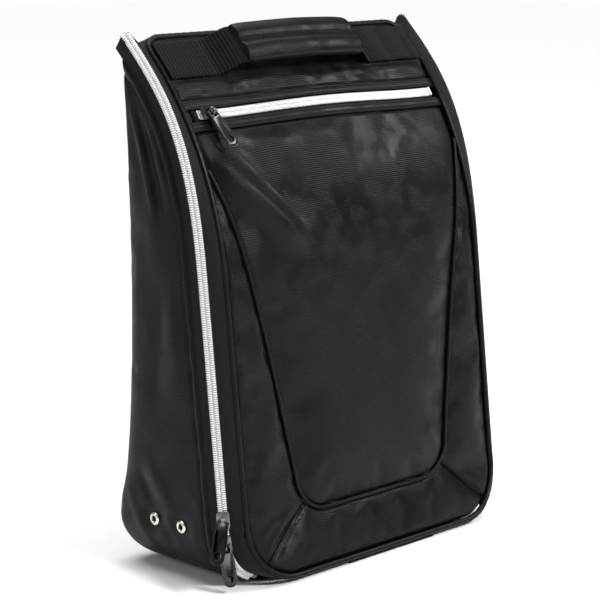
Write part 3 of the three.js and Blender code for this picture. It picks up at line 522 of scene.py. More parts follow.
CLOTH = coated_cloth("coated_cloth", (0.0024, 0.0022, 0.0038), (0.0046, 0.0043, 0.0066), 0.37)
# The side panels are the front's coated cloth painted paler, for the light that falls on them.
LIT_SIDE_CLOTH = coated_cloth("coated_cloth_side_painted_light", (0.0034, 0.0032, 0.0048), (0.0062, 0.006, 0.0082), 0.38)
LINING_CLOTH = woven("lining", (0.016, 0.016, 0.018), (0.035, 0.035, 0.038), 0.0012, 0.00015)
FOAM = plain_noise("foam", (0.03, 0.03, 0.033), (0.06, 0.06, 0.065), 900, 0.0003, 0.95)
BOARD = plain_noise("board", (0.05, 0.046, 0.042), (0.09, 0.083, 0.076), 350, 0.00015, 0.8)
TAPE = woven("zip_tape", (0.003, 0.003, 0.0036), (0.009, 0.009, 0.0105), 0.0009, 0.00012, roughness=0.6)
WEBBING_CLOTH = woven("webbing", (0.002, 0.002, 0.0024), (0.0075, 0.0075, 0.0085), 0.0026, 0.00045, "Y")
THREAD = woven("thread", (0.006, 0.006, 0.007), (0.02, 0.02, 0.022), 0.0006, 0.00005)
COIL = nylon("zip_coil", (0.8, 0.8, 0.81), (0.7, 0.7, 0.71))
# The coil's core is dark grey to paint the shade in the gaps between the white loops.
CORE_PAINTED_SHADE = nylon("zip_coil_core_painted_shade", (0.3, 0.3, 0.31), (0.2, 0.2, 0.21))
# The slider metal's pale grey (0.3) edge colour is a painted highlight along the edges of the sliders, pulls
# and stops.
SLIDER = metal("slider_metal", (0.008, 0.008, 0.009), (0.3, 0.3, 0.3), 0.2, 0.35)
EYELET = metal("eyelet_metal", (0.62, 0.58, 0.47), (0.85, 0.82, 0.74), 0.28, 1.0)


# ---- swelling cloth ---------------------------------------------------------------------------------
def swelling(grid, inward, pressure, cap, stiffness=12.0, slack=0.003):
    """How cloth held all round the edge of an even grid moves when it is pressed out from inside."""
    rows, columns = grid.shape[:2]
    k = np.arange(rows * columns).reshape(rows, columns)
    faces = np.stack([k[:-1, :-1], k[:-1, 1:], k[1:, 1:], k[1:, :-1]], -1).reshape(-1, 4)
    normal = normals_of(grid)
    if (normal * np.asarray(inward)).sum(-1).mean() > 0:
        faces = faces[:, ::-1]
    mesh = bpy.data.meshes.new("swelling")
    mesh.from_pydata((grid.reshape(-1, 3) * MM).tolist(), [], faces.tolist())
    obj = bpy.data.objects.new("swelling", mesh)
    bpy.context.scene.collection.objects.link(obj)
    held = obj.vertex_groups.new(name="held")
    held.add(np.concatenate([k[0], k[-1], k[1:-1, 0], k[1:-1, -1]]).tolist(), 1.0, "REPLACE")
    settings = obj.modifiers.new("cloth", "CLOTH").settings
    settings.quality = 6
    settings.mass = 0.25
    settings.tension_stiffness = settings.compression_stiffness = stiffness
    settings.shear_stiffness = stiffness / 2
    settings.bending_stiffness = 2.0
    settings.air_damping = 4
    settings.use_pressure = True
    settings.uniform_pressure_force = pressure
    settings.vertex_group_mass = "held"
    settings.shrink_min = -slack
    settings.effector_weights.gravity = 0
    scene = bpy.context.scene
    for number in range(1, 21):
        scene.frame_set(number)
    solved = obj.evaluated_get(bpy.context.evaluated_depsgraph_get()).to_mesh()
    moved = np.array([v.co for v in solved.vertices], float).reshape(grid.shape) / MM - grid
    bpy.data.objects.remove(obj)
    bpy.data.meshes.remove(mesh)
    scene.frame_set(1)
    size = np.linalg.norm(moved, axis=-1, keepdims=True)
    return moved * (cap * np.tanh(size / cap) / np.maximum(size, 1e-6))


def swollen(surface, inward, us, vs, coarse, pressure, cap, free=None):
    """A surface of (u, v), swelled on an even grid and then taken at its finer places. free is its share
    of the movement at each point."""
    cu, cv = np.linspace(0, 1, coarse[0]), np.linspace(0, 1, coarse[1])
    moved = swelling(surface(*np.meshgrid(cu, cv)), inward, pressure, cap)
    moved = resample(resample(moved, us, axis=1), vs, axis=0)
    points = surface(*np.meshgrid(us, vs))
    return points + (moved if free is None else moved * free(points)[..., None])


def places(length, step, marks=()):
    """Places from 0 to 1 along a length: even, and close together at the ends and at each mark."""
    at = list(np.arange(0, length, step)) + [0.4, 0.9, 1.6, 2.6]
    at += [length - 2.6, length - 1.6, length - 0.9, length - 0.4]
    for mark in marks:
        at = [a for a in at if abs(a - mark) > 0.9] + [mark - 0.8, mark - 0.4, mark, mark + 0.4, mark + 0.8]
    at = sorted({round(a, 3) for a in at if 0 <= a < length - 0.1} | {0.0, float(length)})
    return np.array(at) / length


# ---- lid --------------------------------------------------------------------------------------------
POCKET_RUN = float(run_at(POCKET_HEIGHT))
PANEL_FOOT = float(run_at(40))
PANEL_CENTRE = PANEL_FOOT_HALF - PANEL_CORNER
RIM_CENTRE = LID_HALF - LID_CORNER
RIM_GAP = 2.0  # the cloth meets the rim's piping
SEAM_GAP = 1.1
half_places = [(80, 105), (88, 150), (97, 192), (108, 237), (117, 266)]
HALF_RUNS = np.array([PANEL_FOOT + PANEL_CORNER] + [float(run_at(z)) for _, z in half_places])
HALF_WIDTHS = np.array([PANEL_FOOT_HALF] + [half for half, _ in half_places], float)
PANEL_SHOULDER = HALF_RUNS[-1]
seam_line = catmull(np.stack([HALF_RUNS, HALF_WIDTHS], 1), 200)


def rim_half(run, margin):
    """Half the lid's width at a height, less a margin."""
    run = np.asarray(run, float)
    top = RIM_TOP - RIM_TOP_CORNER
    radius = RIM_TOP_CORNER - margin
    rise = np.clip(run - top, 0, radius)
    upper = LID_HALF - RIM_TOP_CORNER + np.sqrt(radius**2 - rise**2)
    drop = np.clip(LID_CORNER - run, 0, LID_CORNER - margin)
    lower = RIM_CENTRE + np.sqrt((LID_CORNER - margin) ** 2 - drop**2)
    return np.where(run > top, upper, np.where(run >= LID_CORNER, LID_HALF - margin, lower))


def panel_half(run):
    run = np.asarray(run, float)
    drop = np.clip(PANEL_FOOT + PANEL_CORNER - run, 0, PANEL_CORNER)
    foot = PANEL_CENTRE + np.sqrt(PANEL_CORNER**2 - drop**2)
    side = np.interp(run, seam_line[:, 0], seam_line[:, 1])
    return np.where(drop > 0, foot, side)


def crown(x, run):
    """The pocket's zip is arched out at its middle, and the cloth round it with it."""
    arch = np.clip(1 - (x / 96) ** 2, 0, 1) ** 2
    reach = np.where(run > POCKET_RUN, 24, 62)
    return 4.6 * arch * np.exp(-(((run - POCKET_RUN) / reach) ** 2))


def seam_edges(*distances):
    """Cloth rolls down into the seams at its edges."""
    depth = 0
    for distance in distances:
        depth = depth - 1.1 * np.exp(-((distance / 1.3) ** 2)) - 0.5 * np.exp(-((distance / 3.5) ** 2))
    return depth


def pillow(size, reach, *distances):
    made = size
    for distance in distances:
        made = made * np.tanh(np.maximum(distance, 0) / reach)
    return made


FACE_IN = (0, 1, -0.3)


def lid_cloth(name, outer, **more):
    return skin(name, outer, 1.2, FACE_IN, CLOTH, "lid", slot="coated_cloth", **more)


def pocket_front():
    low, high = PANEL_FOOT + SEAM_GAP, POCKET_RUN - FACING_TO - 0.2

    def surface(u, v):
        run = low + (high - low) * v * v * (2 - v)
        drop = np.clip(PANEL_FOOT + PANEL_CORNER - run, 0, PANEL_CORNER - SEAM_GAP)
        foot = PANEL_CENTRE + np.sqrt((PANEL_CORNER - SEAM_GAP) ** 2 - drop**2)
        side = np.minimum(panel_half(run) - SEAM_GAP, LID_HALF - RIM_GAP)
        half = np.where(drop > 0, foot, side)
        x = (2 * u - 1) * half
        edge = (1 - np.abs(2 * u - 1)) * half
        out = crown(x, run) + pillow(3.0, 16, edge, run - low + 1, high - run + 6)
        out = out + seam_edges(edge, run - low, high - run)
        hold = smooth(0, 14, edge) * smooth(0, 16, high - run)
        out = out + hold * (
            fold(x, run, (-116, 270), (-56, 215), 6.0, 9.5)
            + fold(x, run, (-98, 290), (-50, 228), -4.6, 10)
            + fold(x, run, (-76, 286), (4, 282), 3.0, 12)
            + fold(x, run, (40, 292), (96, 262), -0.6, 12)
            + fold(x, run, (60, 284), (108, 236), 1.3, 8)
            + fold(x, run, (-92, 200), (-70, 120), 1.2, 9)
            + fold(x, run, (84, 190), (66, 96), 1.0, 9)
            + fold(x, run, (-52, 70), (-66, 52), 1.0, 6)
            + fold(x, run, (52, 72), (66, 54), 1.0, 6)
        )
        points = on_lid(x, run)
        return on_lid(x, run, out + hold * (0.35 * waves(points, 50, 1.5) + 0.06 * waves(points, 18, 4.2)))

    grid = swollen(surface, FACE_IN, places(190, 2.4), places(250, 2.4), (34, 42), 3.0, 2.5)
    cloth = lid_cloth("pocket_front", grid, replaces=["pocket_panel"])


def under_webbing(x, run):
    """The lid's cloth is drawn flat under the webbing, and partly so under the grip."""
    band = smooth(322, 328, run)
    return 1 - band * (0.4 + 0.52 * smooth(54, 64, np.abs(x - HANDLE_X)))


def lid_top():
    low, high = POCKET_RUN + FACING_TO + 0.2, RIM_TOP - RIM_GAP

    def surface(u, v):
        run = low + (high - low) * v
        half = rim_half(run, RIM_GAP)
        x = (2 * u - 1) * half
        edge = (1 - np.abs(2 * u - 1)) * half
        out = crown(x, run) + pillow(1.6, 10, edge, run - low + 3, high - run + 3)
        out = out + seam_edges(edge, run - low, high - run)
        hold = smooth(0, 10, edge) * smooth(0, 6, high - run) * smooth(0, 6, run - low)
        out = out + hold * (
            fold(x, run, (20, 345), (52, 318), 1.6, 5)
            + fold(x, run, (34, 350), (66, 322), -1.2, 5)
            + fold(x, run, (-70, 322), (-30, 330), 0.8, 6)
        )
        points = on_lid(x, run)
        return on_lid(x, run, (out + hold * 0.6 * waves(points, 26, 7.7)) * under_webbing(x, run))

    marks = (2.2, 5.2)
    us, vs = places(230, 2.4), places(high - low, 1.6, marks)
    def free(points):
        return under_webbing(points[..., 0], run_at(points[..., 2]))

    grid = swollen(surface, FACE_IN, us, vs, (60, 16), 2.0, 2.0, free)
    cloth = lid_cloth("lid_top", grid, replaces=["top_panel"])


def facings():
    for name, sign in (("upper", 1), ("lower", -1)):
        width = FACING_TO - FACING_FROM
        us, marks = np.linspace(0, 1, 150), (1.5, 5.2)
        vs = places(width, 0.5, marks)
        u, v = np.meshgrid(us, vs)
        across = v * width
        run = POCKET_RUN + sign * (FACING_FROM + across)
        x = (2 * u - 1) * rim_half(run, RIM_GAP)
        round_edge = -0.8 * np.exp(-((across / 0.5) ** 2)) - 0.7 * np.exp(-(((width - across) / 0.5) ** 2))
        grooves = sum(-0.45 * np.exp(-(((across - mark) / 0.45) ** 2)) for mark in marks)
        out = crown(x, run) + 0.9 + round_edge + grooves
        out = out - 0.9 * smooth(0, 5, 5 - (1 - np.abs(2 * u - 1)) * LID_HALF)
        outer = on_lid(x, run, out)
        lid_cloth(f"zip_facing_{name}", outer, replaces=[f"facing_{name}"])
        normal = normals_of(outer)
        normal *= -np.sign((normal * FACE_IN).sum(-1, keepdims=True))
        for mark in marks:
            row = int(np.argmin(np.abs(vs * width - mark)))
            sew("lid", outer[row, 2:-2], normal[row, 2:-2])


MITRE_IN = (PANEL_CENTRE + PANEL_CORNER * math.sqrt(0.5), PANEL_FOOT + PANEL_CORNER * (1 - math.sqrt(0.5)))
MITRE_OUT = (RIM_CENTRE + 24, 9)
MITRE_SLOPE = (MITRE_IN[1] - MITRE_OUT[1]) / (MITRE_OUT[0] - MITRE_IN[0])


def border_sides():
    low, high = MITRE_OUT[1], PANEL_SHOULDER - 8
    for name, sign in (("left", -1), ("right", 1)):

        def surface(u, v, sign=sign):
            run = low + (high - low) * v
            mitre = MITRE_IN[0] + (MITRE_IN[1] - run) / MITRE_SLOPE + 0.5
            seam = panel_half(run) + SEAM_GAP
            inner = np.where(run < MITRE_IN[1], mitre, seam)
            inner = np.minimum(inner, rim_half(run, RIM_GAP) - 0.6)
            half = rim_half(run, RIM_GAP) - inner
            x = inner + half * u
            out = pillow(1.8, 9, half * u + 1, half * (1 - u) + 1) + seam_edges(half * u, half * (1 - u))
            points = on_lid(sign * x, run)
            hold = smooth(0, 8, half * u) * smooth(0, 8, half * (1 - u))
            out = out + hold * 0.7 * waves(points, 30, 3.1 + sign)
            return on_lid(sign * x, run, out)

        us, vs = places(34, 1.7), places(high - low, 2.6)
        grid = swollen(surface, FACE_IN, us, vs, (14, 60), 2.5, 2.0)
        cloth = lid_cloth(f"lid_border_{name}", grid, replaces=[f"border_{name}"])


def rim_run(x):
    beyond = np.clip(np.abs(x) - RIM_CENTRE, 0, LID_CORNER)
    return LID_CORNER - np.sqrt(LID_CORNER**2 - beyond**2)


def border_bottom():
    reach = MITRE_OUT[0] - 2

    def surface(u, v):
        x = (2 * u - 1) * reach
        distance = np.abs(x)
        low = rim_run(x) + RIM_GAP * (1 + 0.6 * smooth(RIM_CENTRE, reach, distance))
        radius = PANEL_CORNER + SEAM_GAP
        beyond = np.clip(distance - PANEL_CENTRE, 0, radius)
        arc = PANEL_FOOT + PANEL_CORNER - np.sqrt(radius**2 - beyond**2)
        mitre = MITRE_IN[1] - (distance - MITRE_IN[0]) * MITRE_SLOPE - 0.4
        top = np.maximum(np.minimum(arc, mitre), low + 0.4)
        high = top - low
        run = low + high * v
        out = pillow(1.9, 8, high * v + 1, high * (1 - v) + 1) + seam_edges(high * v, high * (1 - v))
        points = on_lid(x, run)
        hold = smooth(0, 7, high * v) * smooth(0, 7, high * (1 - v))
        return on_lid(x, run, out + hold * 0.7 * waves(points, 28, 9.4))

    grid = swollen(surface, FACE_IN, places(2 * reach, 2.4), places(34, 1.7), (60, 12), 2.5, 2.0)
    cloth = lid_cloth("lid_border_bottom", grid, replaces=["border_bottom"])


def mitre_stitches():
    for sign in (-1, 1):
        for gap in (-2.4, 2.4):
            t = np.linspace(0.04, 0.93, 30)
            x = MITRE_IN[0] + (MITRE_OUT[0] - MITRE_IN[0]) * t + gap * 0.62
            run = MITRE_IN[1] + (MITRE_OUT[1] - MITRE_IN[1]) * t + gap * 0.62
            line = on_lid(sign * x, run, 1.3)
            lean = profile(run)[2]
            normal = np.stack([0 * lean, -np.cos(lean), np.sin(lean)], -1)
            sew("lid", line, normal)


def piping():
    rim = []
    for sign in (-1, 1):
        angles = np.linspace(math.pi / 2, 0, 24)
        foot_x = RIM_CENTRE + LID_CORNER * np.cos(angles)
        foot = on_lid(sign * foot_x, LID_CORNER * (1 - np.sin(angles)), -0.4)
        runs = np.linspace(LID_CORNER, RIM_TOP - RIM_TOP_CORNER, 90)[1:]
        side = on_lid(sign * LID_HALF, runs, -0.4)
        angles = np.linspace(0, math.pi / 2, 14)[1:]
        turn = LID_HALF - RIM_TOP_CORNER + RIM_TOP_CORNER * np.cos(angles)
        top = on_lid(sign * turn, RIM_TOP - RIM_TOP_CORNER * (1 - np.sin(angles)), -0.4)
        inner = on_lid(sign * np.linspace(LID_HALF - RIM_TOP_CORNER - 3, 0.2, 30), RIM_TOP, -0.4)
        flat = on_lid(sign * np.linspace(0.2, RIM_CENTRE - 3, 20), 0, -0.4)
        half = np.concatenate([flat, foot, side, top, inner])
        rim.append(half if sign < 0 else half[::-1])
    line = np.concatenate(rim)
    path = even(line, 620)[0]
    ripple = 0.12 * np.sin(np.arange(len(path)) * 1.9)
    cloth = {"slot": "coated_cloth"}
    tube("rim_piping", path, RIM_RADIUS + ripple, CLOTH, "lid", 14, replaces=["lid_piping"], **cloth)
    seam = []
    for sign in (-1, 1):
        runs = np.linspace(PANEL_SHOULDER - 1, PANEL_FOOT + PANEL_CORNER, 60)
        angles = np.linspace(0, math.pi / 2, 16)[1:]
        x = PANEL_CENTRE + PANEL_CORNER * np.cos(angles)
        foot = on_lid(sign * x, PANEL_FOOT + PANEL_CORNER * (1 - np.sin(angles)), 0.1)
        flat = on_lid(sign * np.linspace(PANEL_CENTRE - 3, 0.2, 16), PANEL_FOOT, 0.1)
        half = np.concatenate([on_lid(sign * panel_half(runs), runs, 0.1), foot, flat])
        seam.append(half if sign < 0 else half[::-1])
    path = even(np.concatenate(seam), 360)[0]
    ripple = 0.08 * np.sin(np.arange(len(path)) * 2.1)
    tube("seam_piping", path, 1.35 + ripple, CLOTH, "lid", 12, replaces=["panel_piping"], **cloth)


def flat_sheet(name, low, high, margin, out, thickness, material, slot, node, puff=0.0):
    """A layer behind the lid's face, as wide as the lid less a margin."""
    us, vs = np.linspace(0, 1, 60), np.linspace(0, 1, 70)
    u, v = np.meshgrid(us, vs)
    run = low + (high - low) * v
    x = (2 * u - 1) * rim_half(run, margin)
    edge = (1 - np.abs(2 * u - 1)) * LID_HALF
    bulge = puff * np.tanh(edge / 12) * np.tanh((run - low) / 12) * np.tanh((high - run) / 12)
    ripple = puff * 0.35 * waves(on_lid(x, run), 34, out)
    outer = on_lid(x, run, out)
    inner = on_lid(x, run, out - thickness - bulge - ripple * np.tanh(edge / 12))
    made = slab(name, outer, inner, material, "lid", slot=slot, replaces=[node])
    return made, inner


def lid_layers():
    pouch, grid = flat_sheet(
        "pouch_cloth", PANEL_SHOULDER - 130, POCKET_RUN + 10, 8, -2.5, 0.5,
        LINING_CLOTH, "lining", "pocket_pouch"
    )
    foam, _ = flat_sheet("foam_sheet", 8, LID_RUN - 12, 6, -3.4, 3.5, FOAM, "foam", "lid_foam")
    lining, grid = flat_sheet(
        "lid_lining_cloth", 7, LID_RUN - 11, 5, -7.2, 0.9, LINING_CLOTH, "lining", "lid_lining", puff=1.2
    )


# ---- main zip ---------------------------------------------------------------------------------------
def setback(run):
    return ZIP_SETBACK * (1 - smooth(FRONT_RUN, LID_RUN - 47, run))


def zip_point(x, run):
    y, z, lean = profile(run)
    return np.array([x, y + setback(run) * math.cos(lean), z - setback(run) * math.sin(lean)])


def zip_half():
    """The left half of the main zip from its lower end: rows of numbers for each station."""
    rows = []

    def station(point, outward, normal, turned, rim_x, rim_up, ax, along):
        angle = ZIP_TURN * (1 - turned)
        across = outward * math.cos(angle) - normal * math.sin(angle)
        out = normal * math.cos(angle) + outward * math.sin(angle)
        gap = 1.9
        rim = on_lid(rim_x + ax * gap, rim_up + along * gap, -0.4)
        rows.append(np.concatenate([point, outward, normal, across, out, rim, [turned]]))

    up, ahead = up_face(FRONT_LEAN), face_normal(FRONT_LEAN)
    plane_y = FRONT_Y + ZIP_SETBACK / math.cos(FRONT_LEAN) + (SHELL_CORNER - FRONT_Z) * math.tan(FRONT_LEAN)
    centre = np.array([-(COIL_X - COIL_CORNER), plane_y, SHELL_CORNER])
    for angle in np.linspace(COIL_END, 0, 22):
        ax, along = -math.cos(angle), -math.sin(angle)
        outward = np.array([ax, 0, 0]) + up * along
        place = (LID_CORNER * (1 + ax) - LID_HALF, LID_CORNER * (1 + along))
        station(centre + outward * COIL_CORNER, outward, ahead, 0, *place, ax, along)
    top_corner = ZIP_TOP_RUN - ZIP_TOP_CORNER
    sideways = np.array([-1.0, 0, 0])
    for run in np.linspace(float(run_at(SHELL_CORNER)) + 1.5, top_corner, 150):
        lean = float(profile(run)[2])
        rim_up = min(run, RIM_TOP - RIM_TOP_CORNER)
        station(zip_point(-COIL_X, run), sideways, face_normal(lean), 0, -LID_HALF, rim_up, -1, 0)
    steps = 26
    for i in range(1, steps + 1):
        angle = math.pi / 2 * i / steps
        ax, along = -math.cos(angle), math.sin(angle)
        x = -(COIL_X - ZIP_TOP_CORNER) + ZIP_TOP_CORNER * ax
        run = top_corner + ZIP_TOP_CORNER * along
        lean = float(profile(run)[2])
        outward = np.array([ax, 0, 0]) + up_face(lean) * along
        place = (RIM_TOP_CORNER * (1 + ax) - LID_HALF, RIM_TOP - RIM_TOP_CORNER * (1 - along))
        station(zip_point(x, run), outward, face_normal(lean), i / steps, *place, ax, along)
    lean = float(profile(ZIP_TOP_RUN)[2])
    for x in np.linspace(-(COIL_X - ZIP_TOP_CORNER), 0, 40)[1:]:
        share = x / (COIL_X - ZIP_TOP_CORNER) * (LID_HALF - RIM_TOP_CORNER)
        station(zip_point(x, ZIP_TOP_RUN), up_face(lean), face_normal(lean), 1, share, RIM_TOP, 0, 1)
    return np.array(rows)


def zip_stations():
    left = zip_half()
    right = left[:-1][::-1].copy()
    for column in range(0, 18, 3):
        right[:, column] *= -1
    return np.concatenate([left, right])


ZIP = zip_stations()
ZIP_ALONG = [ZIP[:, i : i + 3] for i in range(0, 18, 3)] + [ZIP[:, 18:]]


def zip_tapes():
    point, outward, normal, across, out, rim, turned = ZIP_ALONG
    edge = point - across * (COIL_OUTER - 0.4)
    steps = np.linspace(0, 1, 9)
    arch = 0.5 * np.sin(math.pi * steps)
    middle = rim[:, None] * (1 - steps)[:, None] + edge[:, None] * steps[:, None]
    middle = middle + out[:, None] * arch[:, None]
    outer = middle + out[:, None] * 0.4
    inner = outer - out[:, None] * 0.9
    slab("lid_zip_tape", outer, inner, TAPE, "lid", slot="zip_tape", replaces=["zip_tape_lid"])
    back = unit(-normal * (1 - turned) + across * turned)
    face = unit(outward * (1 - turned) + out * turned)
    start = point + across * (COIL_OUTER - 0.3)
    hem = point + across * (COIL_OUTER + 0.9) + face * 0.4 * (1 - turned)
    width = (7.2 * (1 - turned) + 8 * turned) * (1 - 2.2 * turned * (1 - turned))
    steps = np.linspace(0, 1, 8)
    curl = hem[:, None] + back[:, None] * (steps * 1.0)[:, None] * width[:, None]
    outer = np.concatenate([start[:, None] + face[:, None] * 0.3, curl + face[:, None] * 0.3], axis=1)
    inner = outer - face[:, None] * 0.9
    slab("shell_zip_tape", outer, inner, TAPE, "shell", slot="zip_tape", replaces=["zip_tape_shell"])


def teeth(name, point, across, out, low, high, body, node, shift=0.0):
    """One half of a coil: a rounded loop at each pitch, over a thinner woven core coloured dark grey as
    painted shade between the loops.
    """
    count = int(np.linalg.norm(np.diff(point, axis=0), axis=1).sum() / TOOTH_PITCH)
    line, sides, outs = even(point, count, across, out)
    along = unit(np.gradient(line, axis=0))
    sides = unit(sides - along * (sides * along).sum(-1, keepdims=True))
    outs = np.cross(along, sides)
    outs *= np.sign((outs * even(point, count, out)[1]).sum(-1, keepdims=True))
    template, faces = bead(abs(high - low), TOOTH_PITCH * 0.78, 2.5, 0.75)
    middle = line + sides * (low + high) / 2 + along * shift * TOOTH_PITCH
    points, loops = copies(template, faces, middle, sides, along, outs)
    core_line = point + across * (low + high) / 2 + out * -0.3
    core_path = even(core_line, count)[0]
    tube(f"{name}_core", core_path, abs(high - low) * 0.32, CORE_PAINTED_SHADE, body, 8, first=across[0], slot="zip_coil")
    uv = np.zeros((len(points), 2))
    piece(name, points, loops, COIL, body, uv=uv, slot="zip_coil", replaces=[node])


def main_coil():
    point, _, _, across, out, _, _ = ZIP_ALONG
    teeth("lid_coil_teeth", point, across, out, -COIL_OUTER, -COIL_INNER + 0.5, "lid", "zip_coil_lid")
    low, high = COIL_INNER - 0.5, COIL_OUTER
    teeth("shell_coil_teeth", point, across, out, low, high, "shell", "zip_coil_shell", shift=0.5)


def pocket_zip():
    columns = 130
    for name, sign in (("upper", 1), ("lower", -1)):
        reach = np.linspace(-POCKET_HALF - 4, POCKET_HALF + 4, columns)
        x, across = np.meshgrid(reach, np.linspace(0.5, 9.5, 8))
        run = POCKET_RUN + sign * across
        outer = on_lid(x, run, crown(x, POCKET_RUN) - 1.0)
        inner = on_lid(x, run, crown(x, POCKET_RUN) - 1.7)
        node = f"pocket_tape_{name}"
        slab(f"pocket_zip_tape_{name}", outer, inner, TAPE, "lid", slot="zip_tape", replaces=[node])
        x = np.linspace(-POCKET_HALF, POCKET_HALF, columns)
        line = on_lid(x, POCKET_RUN, crown(x, POCKET_RUN) + 0.3)
        up = up_face(float(profile(POCKET_RUN)[2]))
        ahead = face_normal(float(profile(POCKET_RUN)[2]))
        sides, outs = np.tile(up * sign, (columns, 1)), np.tile(ahead, (columns, 1))
        low, high = COIL_INNER - 0.5, COIL_OUTER
        shift = 0.25 * sign
        node = f"pocket_coil_{name}"
        teeth(f"pocket_teeth_{name}", line, sides, outs, low, high, "lid", node, shift=shift)


# ---- rear shell -------------------------------------------------------------------------------------
back_points = [
    (43, 0), (50.5, 3.5), (57, 12), (59.5, 26), (57, 42),
    (51, 68), (46, 120), (43.5, 190), (44, 255), (48, 329),
]
back_line = catmull(back_points, 800)
sag = np.interp(back_line[:, 1], [0, 14, 45, 255, 329], [0, 1.5, 4.5, 4.5, 1.5])  # its contents push it out
back_line[:, 0] += sag


def back_y(z):
    return np.interp(z, back_line[:, 1], back_line[:, 0])


def half_room(z, depth):
    radius = SHELL_CORNER - depth
    drop = np.clip(SHELL_CORNER - z, 0, radius)
    return SHELL_HALF - SHELL_CORNER + np.sqrt(radius**2 - drop**2)


SIDE_TOP_RUN = LID_RUN - 9
ARC_SHARE = 0.13  # of the side panel's rows, for its round lower edge


def side_section(v):
    """Half width, height at the front, front y, height at the back and back y for rows of the side panel."""
    bend = math.pi / 2 * (1 - np.clip(v / ARC_SHARE, 0, 1))
    flat = np.clip((v - ARC_SHARE) / (1 - ARC_SHARE), 0, 1)
    half = SHELL_HALF - SHELL_CORNER + SHELL_CORNER * np.cos(bend)
    low = SHELL_CORNER - SHELL_CORNER * np.sin(bend)
    start = float(run_at(SHELL_CORNER))
    run = np.where(flat > 0, start + (SIDE_TOP_RUN - start) * flat, run_at(np.maximum(low, FRONT_Z)))
    y, z, lean = profile(run)
    behind = setback(run) + SIDE_EDGE
    front_y = y + behind * np.cos(lean)
    drop = behind * np.sin(lean)
    first_drop = float((ZIP_SETBACK + SIDE_EDGE) * math.sin(FRONT_LEAN))
    front_z = np.where(flat > 0, z - drop + first_drop * (1 - smooth(0, 0.1, flat)), low)
    back_z = np.where(flat > 0, SHELL_CORNER + (BACK_TOP - 2 - SHELL_CORNER) * flat, low)
    return half, front_z, front_y, back_z, back_y(np.maximum(back_z, 0.5))


def side_surface(sign, depth, relief):
    def surface(u, v):
        half, front_z, front_y, back_z, rear_y = side_section(v)
        straight = rear_y - REAR_ROUND - front_y
        arc = REAR_ROUND * math.pi / 2
        travel = u * (straight + arc)
        turn = np.clip((travel - straight) / arc, 0, 1) * math.pi / 2
        radius = REAR_ROUND - depth
        y = front_y + np.minimum(travel, straight) + radius * np.sin(turn)
        x = half - depth - (radius - radius * np.cos(turn))
        z = front_z + (back_z - front_z) * np.clip((y - front_y) / (rear_y - front_y), 0, 1)
        bend = math.pi / 2 * (1 - np.clip(v / ARC_SHARE, 0, 1))
        z = z + depth * np.sin(bend)
        x = x + depth * (1 - np.cos(bend)) * (v < ARC_SHARE)
        out = relief(y, z, travel, straight, v) if relief else 0
        x = x + out * np.cos(turn) * np.cos(bend)
        y = y + out * np.sin(turn)
        z = z - out * np.sin(bend) * np.cos(turn)
        return np.stack([sign * x, y, z], -1)

    return surface


def eyelet_hold(y, z):
    """How firmly the cloth is held flat round the eyelets, from 0 to 1."""
    off = [((y - at) ** 2 + (z - EYELET_Z) ** 2) / 90 for at in EYELET_Y]
    return np.clip(sum(np.exp(-(distance**2)) for distance in off), 0, 1)


def off_eyelets(points):
    return 1 - eyelet_hold(points[..., 1], points[..., 2])


def side_relief(sign):
    def relief(y, z, travel, straight, v):
        hem = 0.7 * np.exp(-(((travel - 1.5) / 2.2) ** 2)) - 0.9 * np.exp(-(((travel - 5) / 0.9) ** 2))
        hem = hem - 1.0 * np.exp(-((travel / 0.9) ** 2))
        hold = smooth(3, 16, travel) * smooth(0, 14, straight + 8 - travel)
        hold = hold * smooth(4, 26, z) * smooth(0, 12, 323 - z)
        places_xyz = np.stack([0 * y + sign * 60, y, z], -1)
        folds = (
            fold(y, z, (36, 308), (14, 240), 1.8, 3.2)
            + fold(y, z, (30, 306), (8, 238), -2.2, 5.5)
            + fold(y, z, (24, 318), (2, 262), 3.0, 8.0)
            + fold(y, z, (38, 322), (29, 314), -2.2, 2.4)
            + fold(y, z, (20, 250), (-2, 150), 1.2, 9)
            + fold(y, z, (6, 200), (18, 110), -1.3, 8)
            + fold(y, z, (32, 64), (6, 24), -1.6, 4.5)
            + fold(y, z, (26, 76), (-6, 34), 1.2, 6)
            + fold(y, z, (46, 54), (30, 20), 1.0, 5)
            + fold(y, z, (-8, 96), (20, 60), 0.8, 7)
        )
        lumps = 1.0 * waves(places_xyz, 55, 2.2 + sign) + 0.3 * waves(places_xyz, 18, 6.6 + sign)
        eyelet = eyelet_hold(y, z)
        belly = pillow(1.2 if sign < 0 else 5.0, 18, travel, straight + 6 - travel, z - 4, 326 - z)
        return hem + hold * (1 - eyelet) * (folds + lumps + belly)

    return relief


EYELET_Y = [(corner(f"eyelet_left_{place}", True, 1) + corner(f"eyelet_left_{place}", False, 1)) / 2
            for place in ("front", "rear")]
EYELET_Z = (corner("eyelet_left_front", True, 2) + corner("eyelet_left_front", False, 2)) / 2


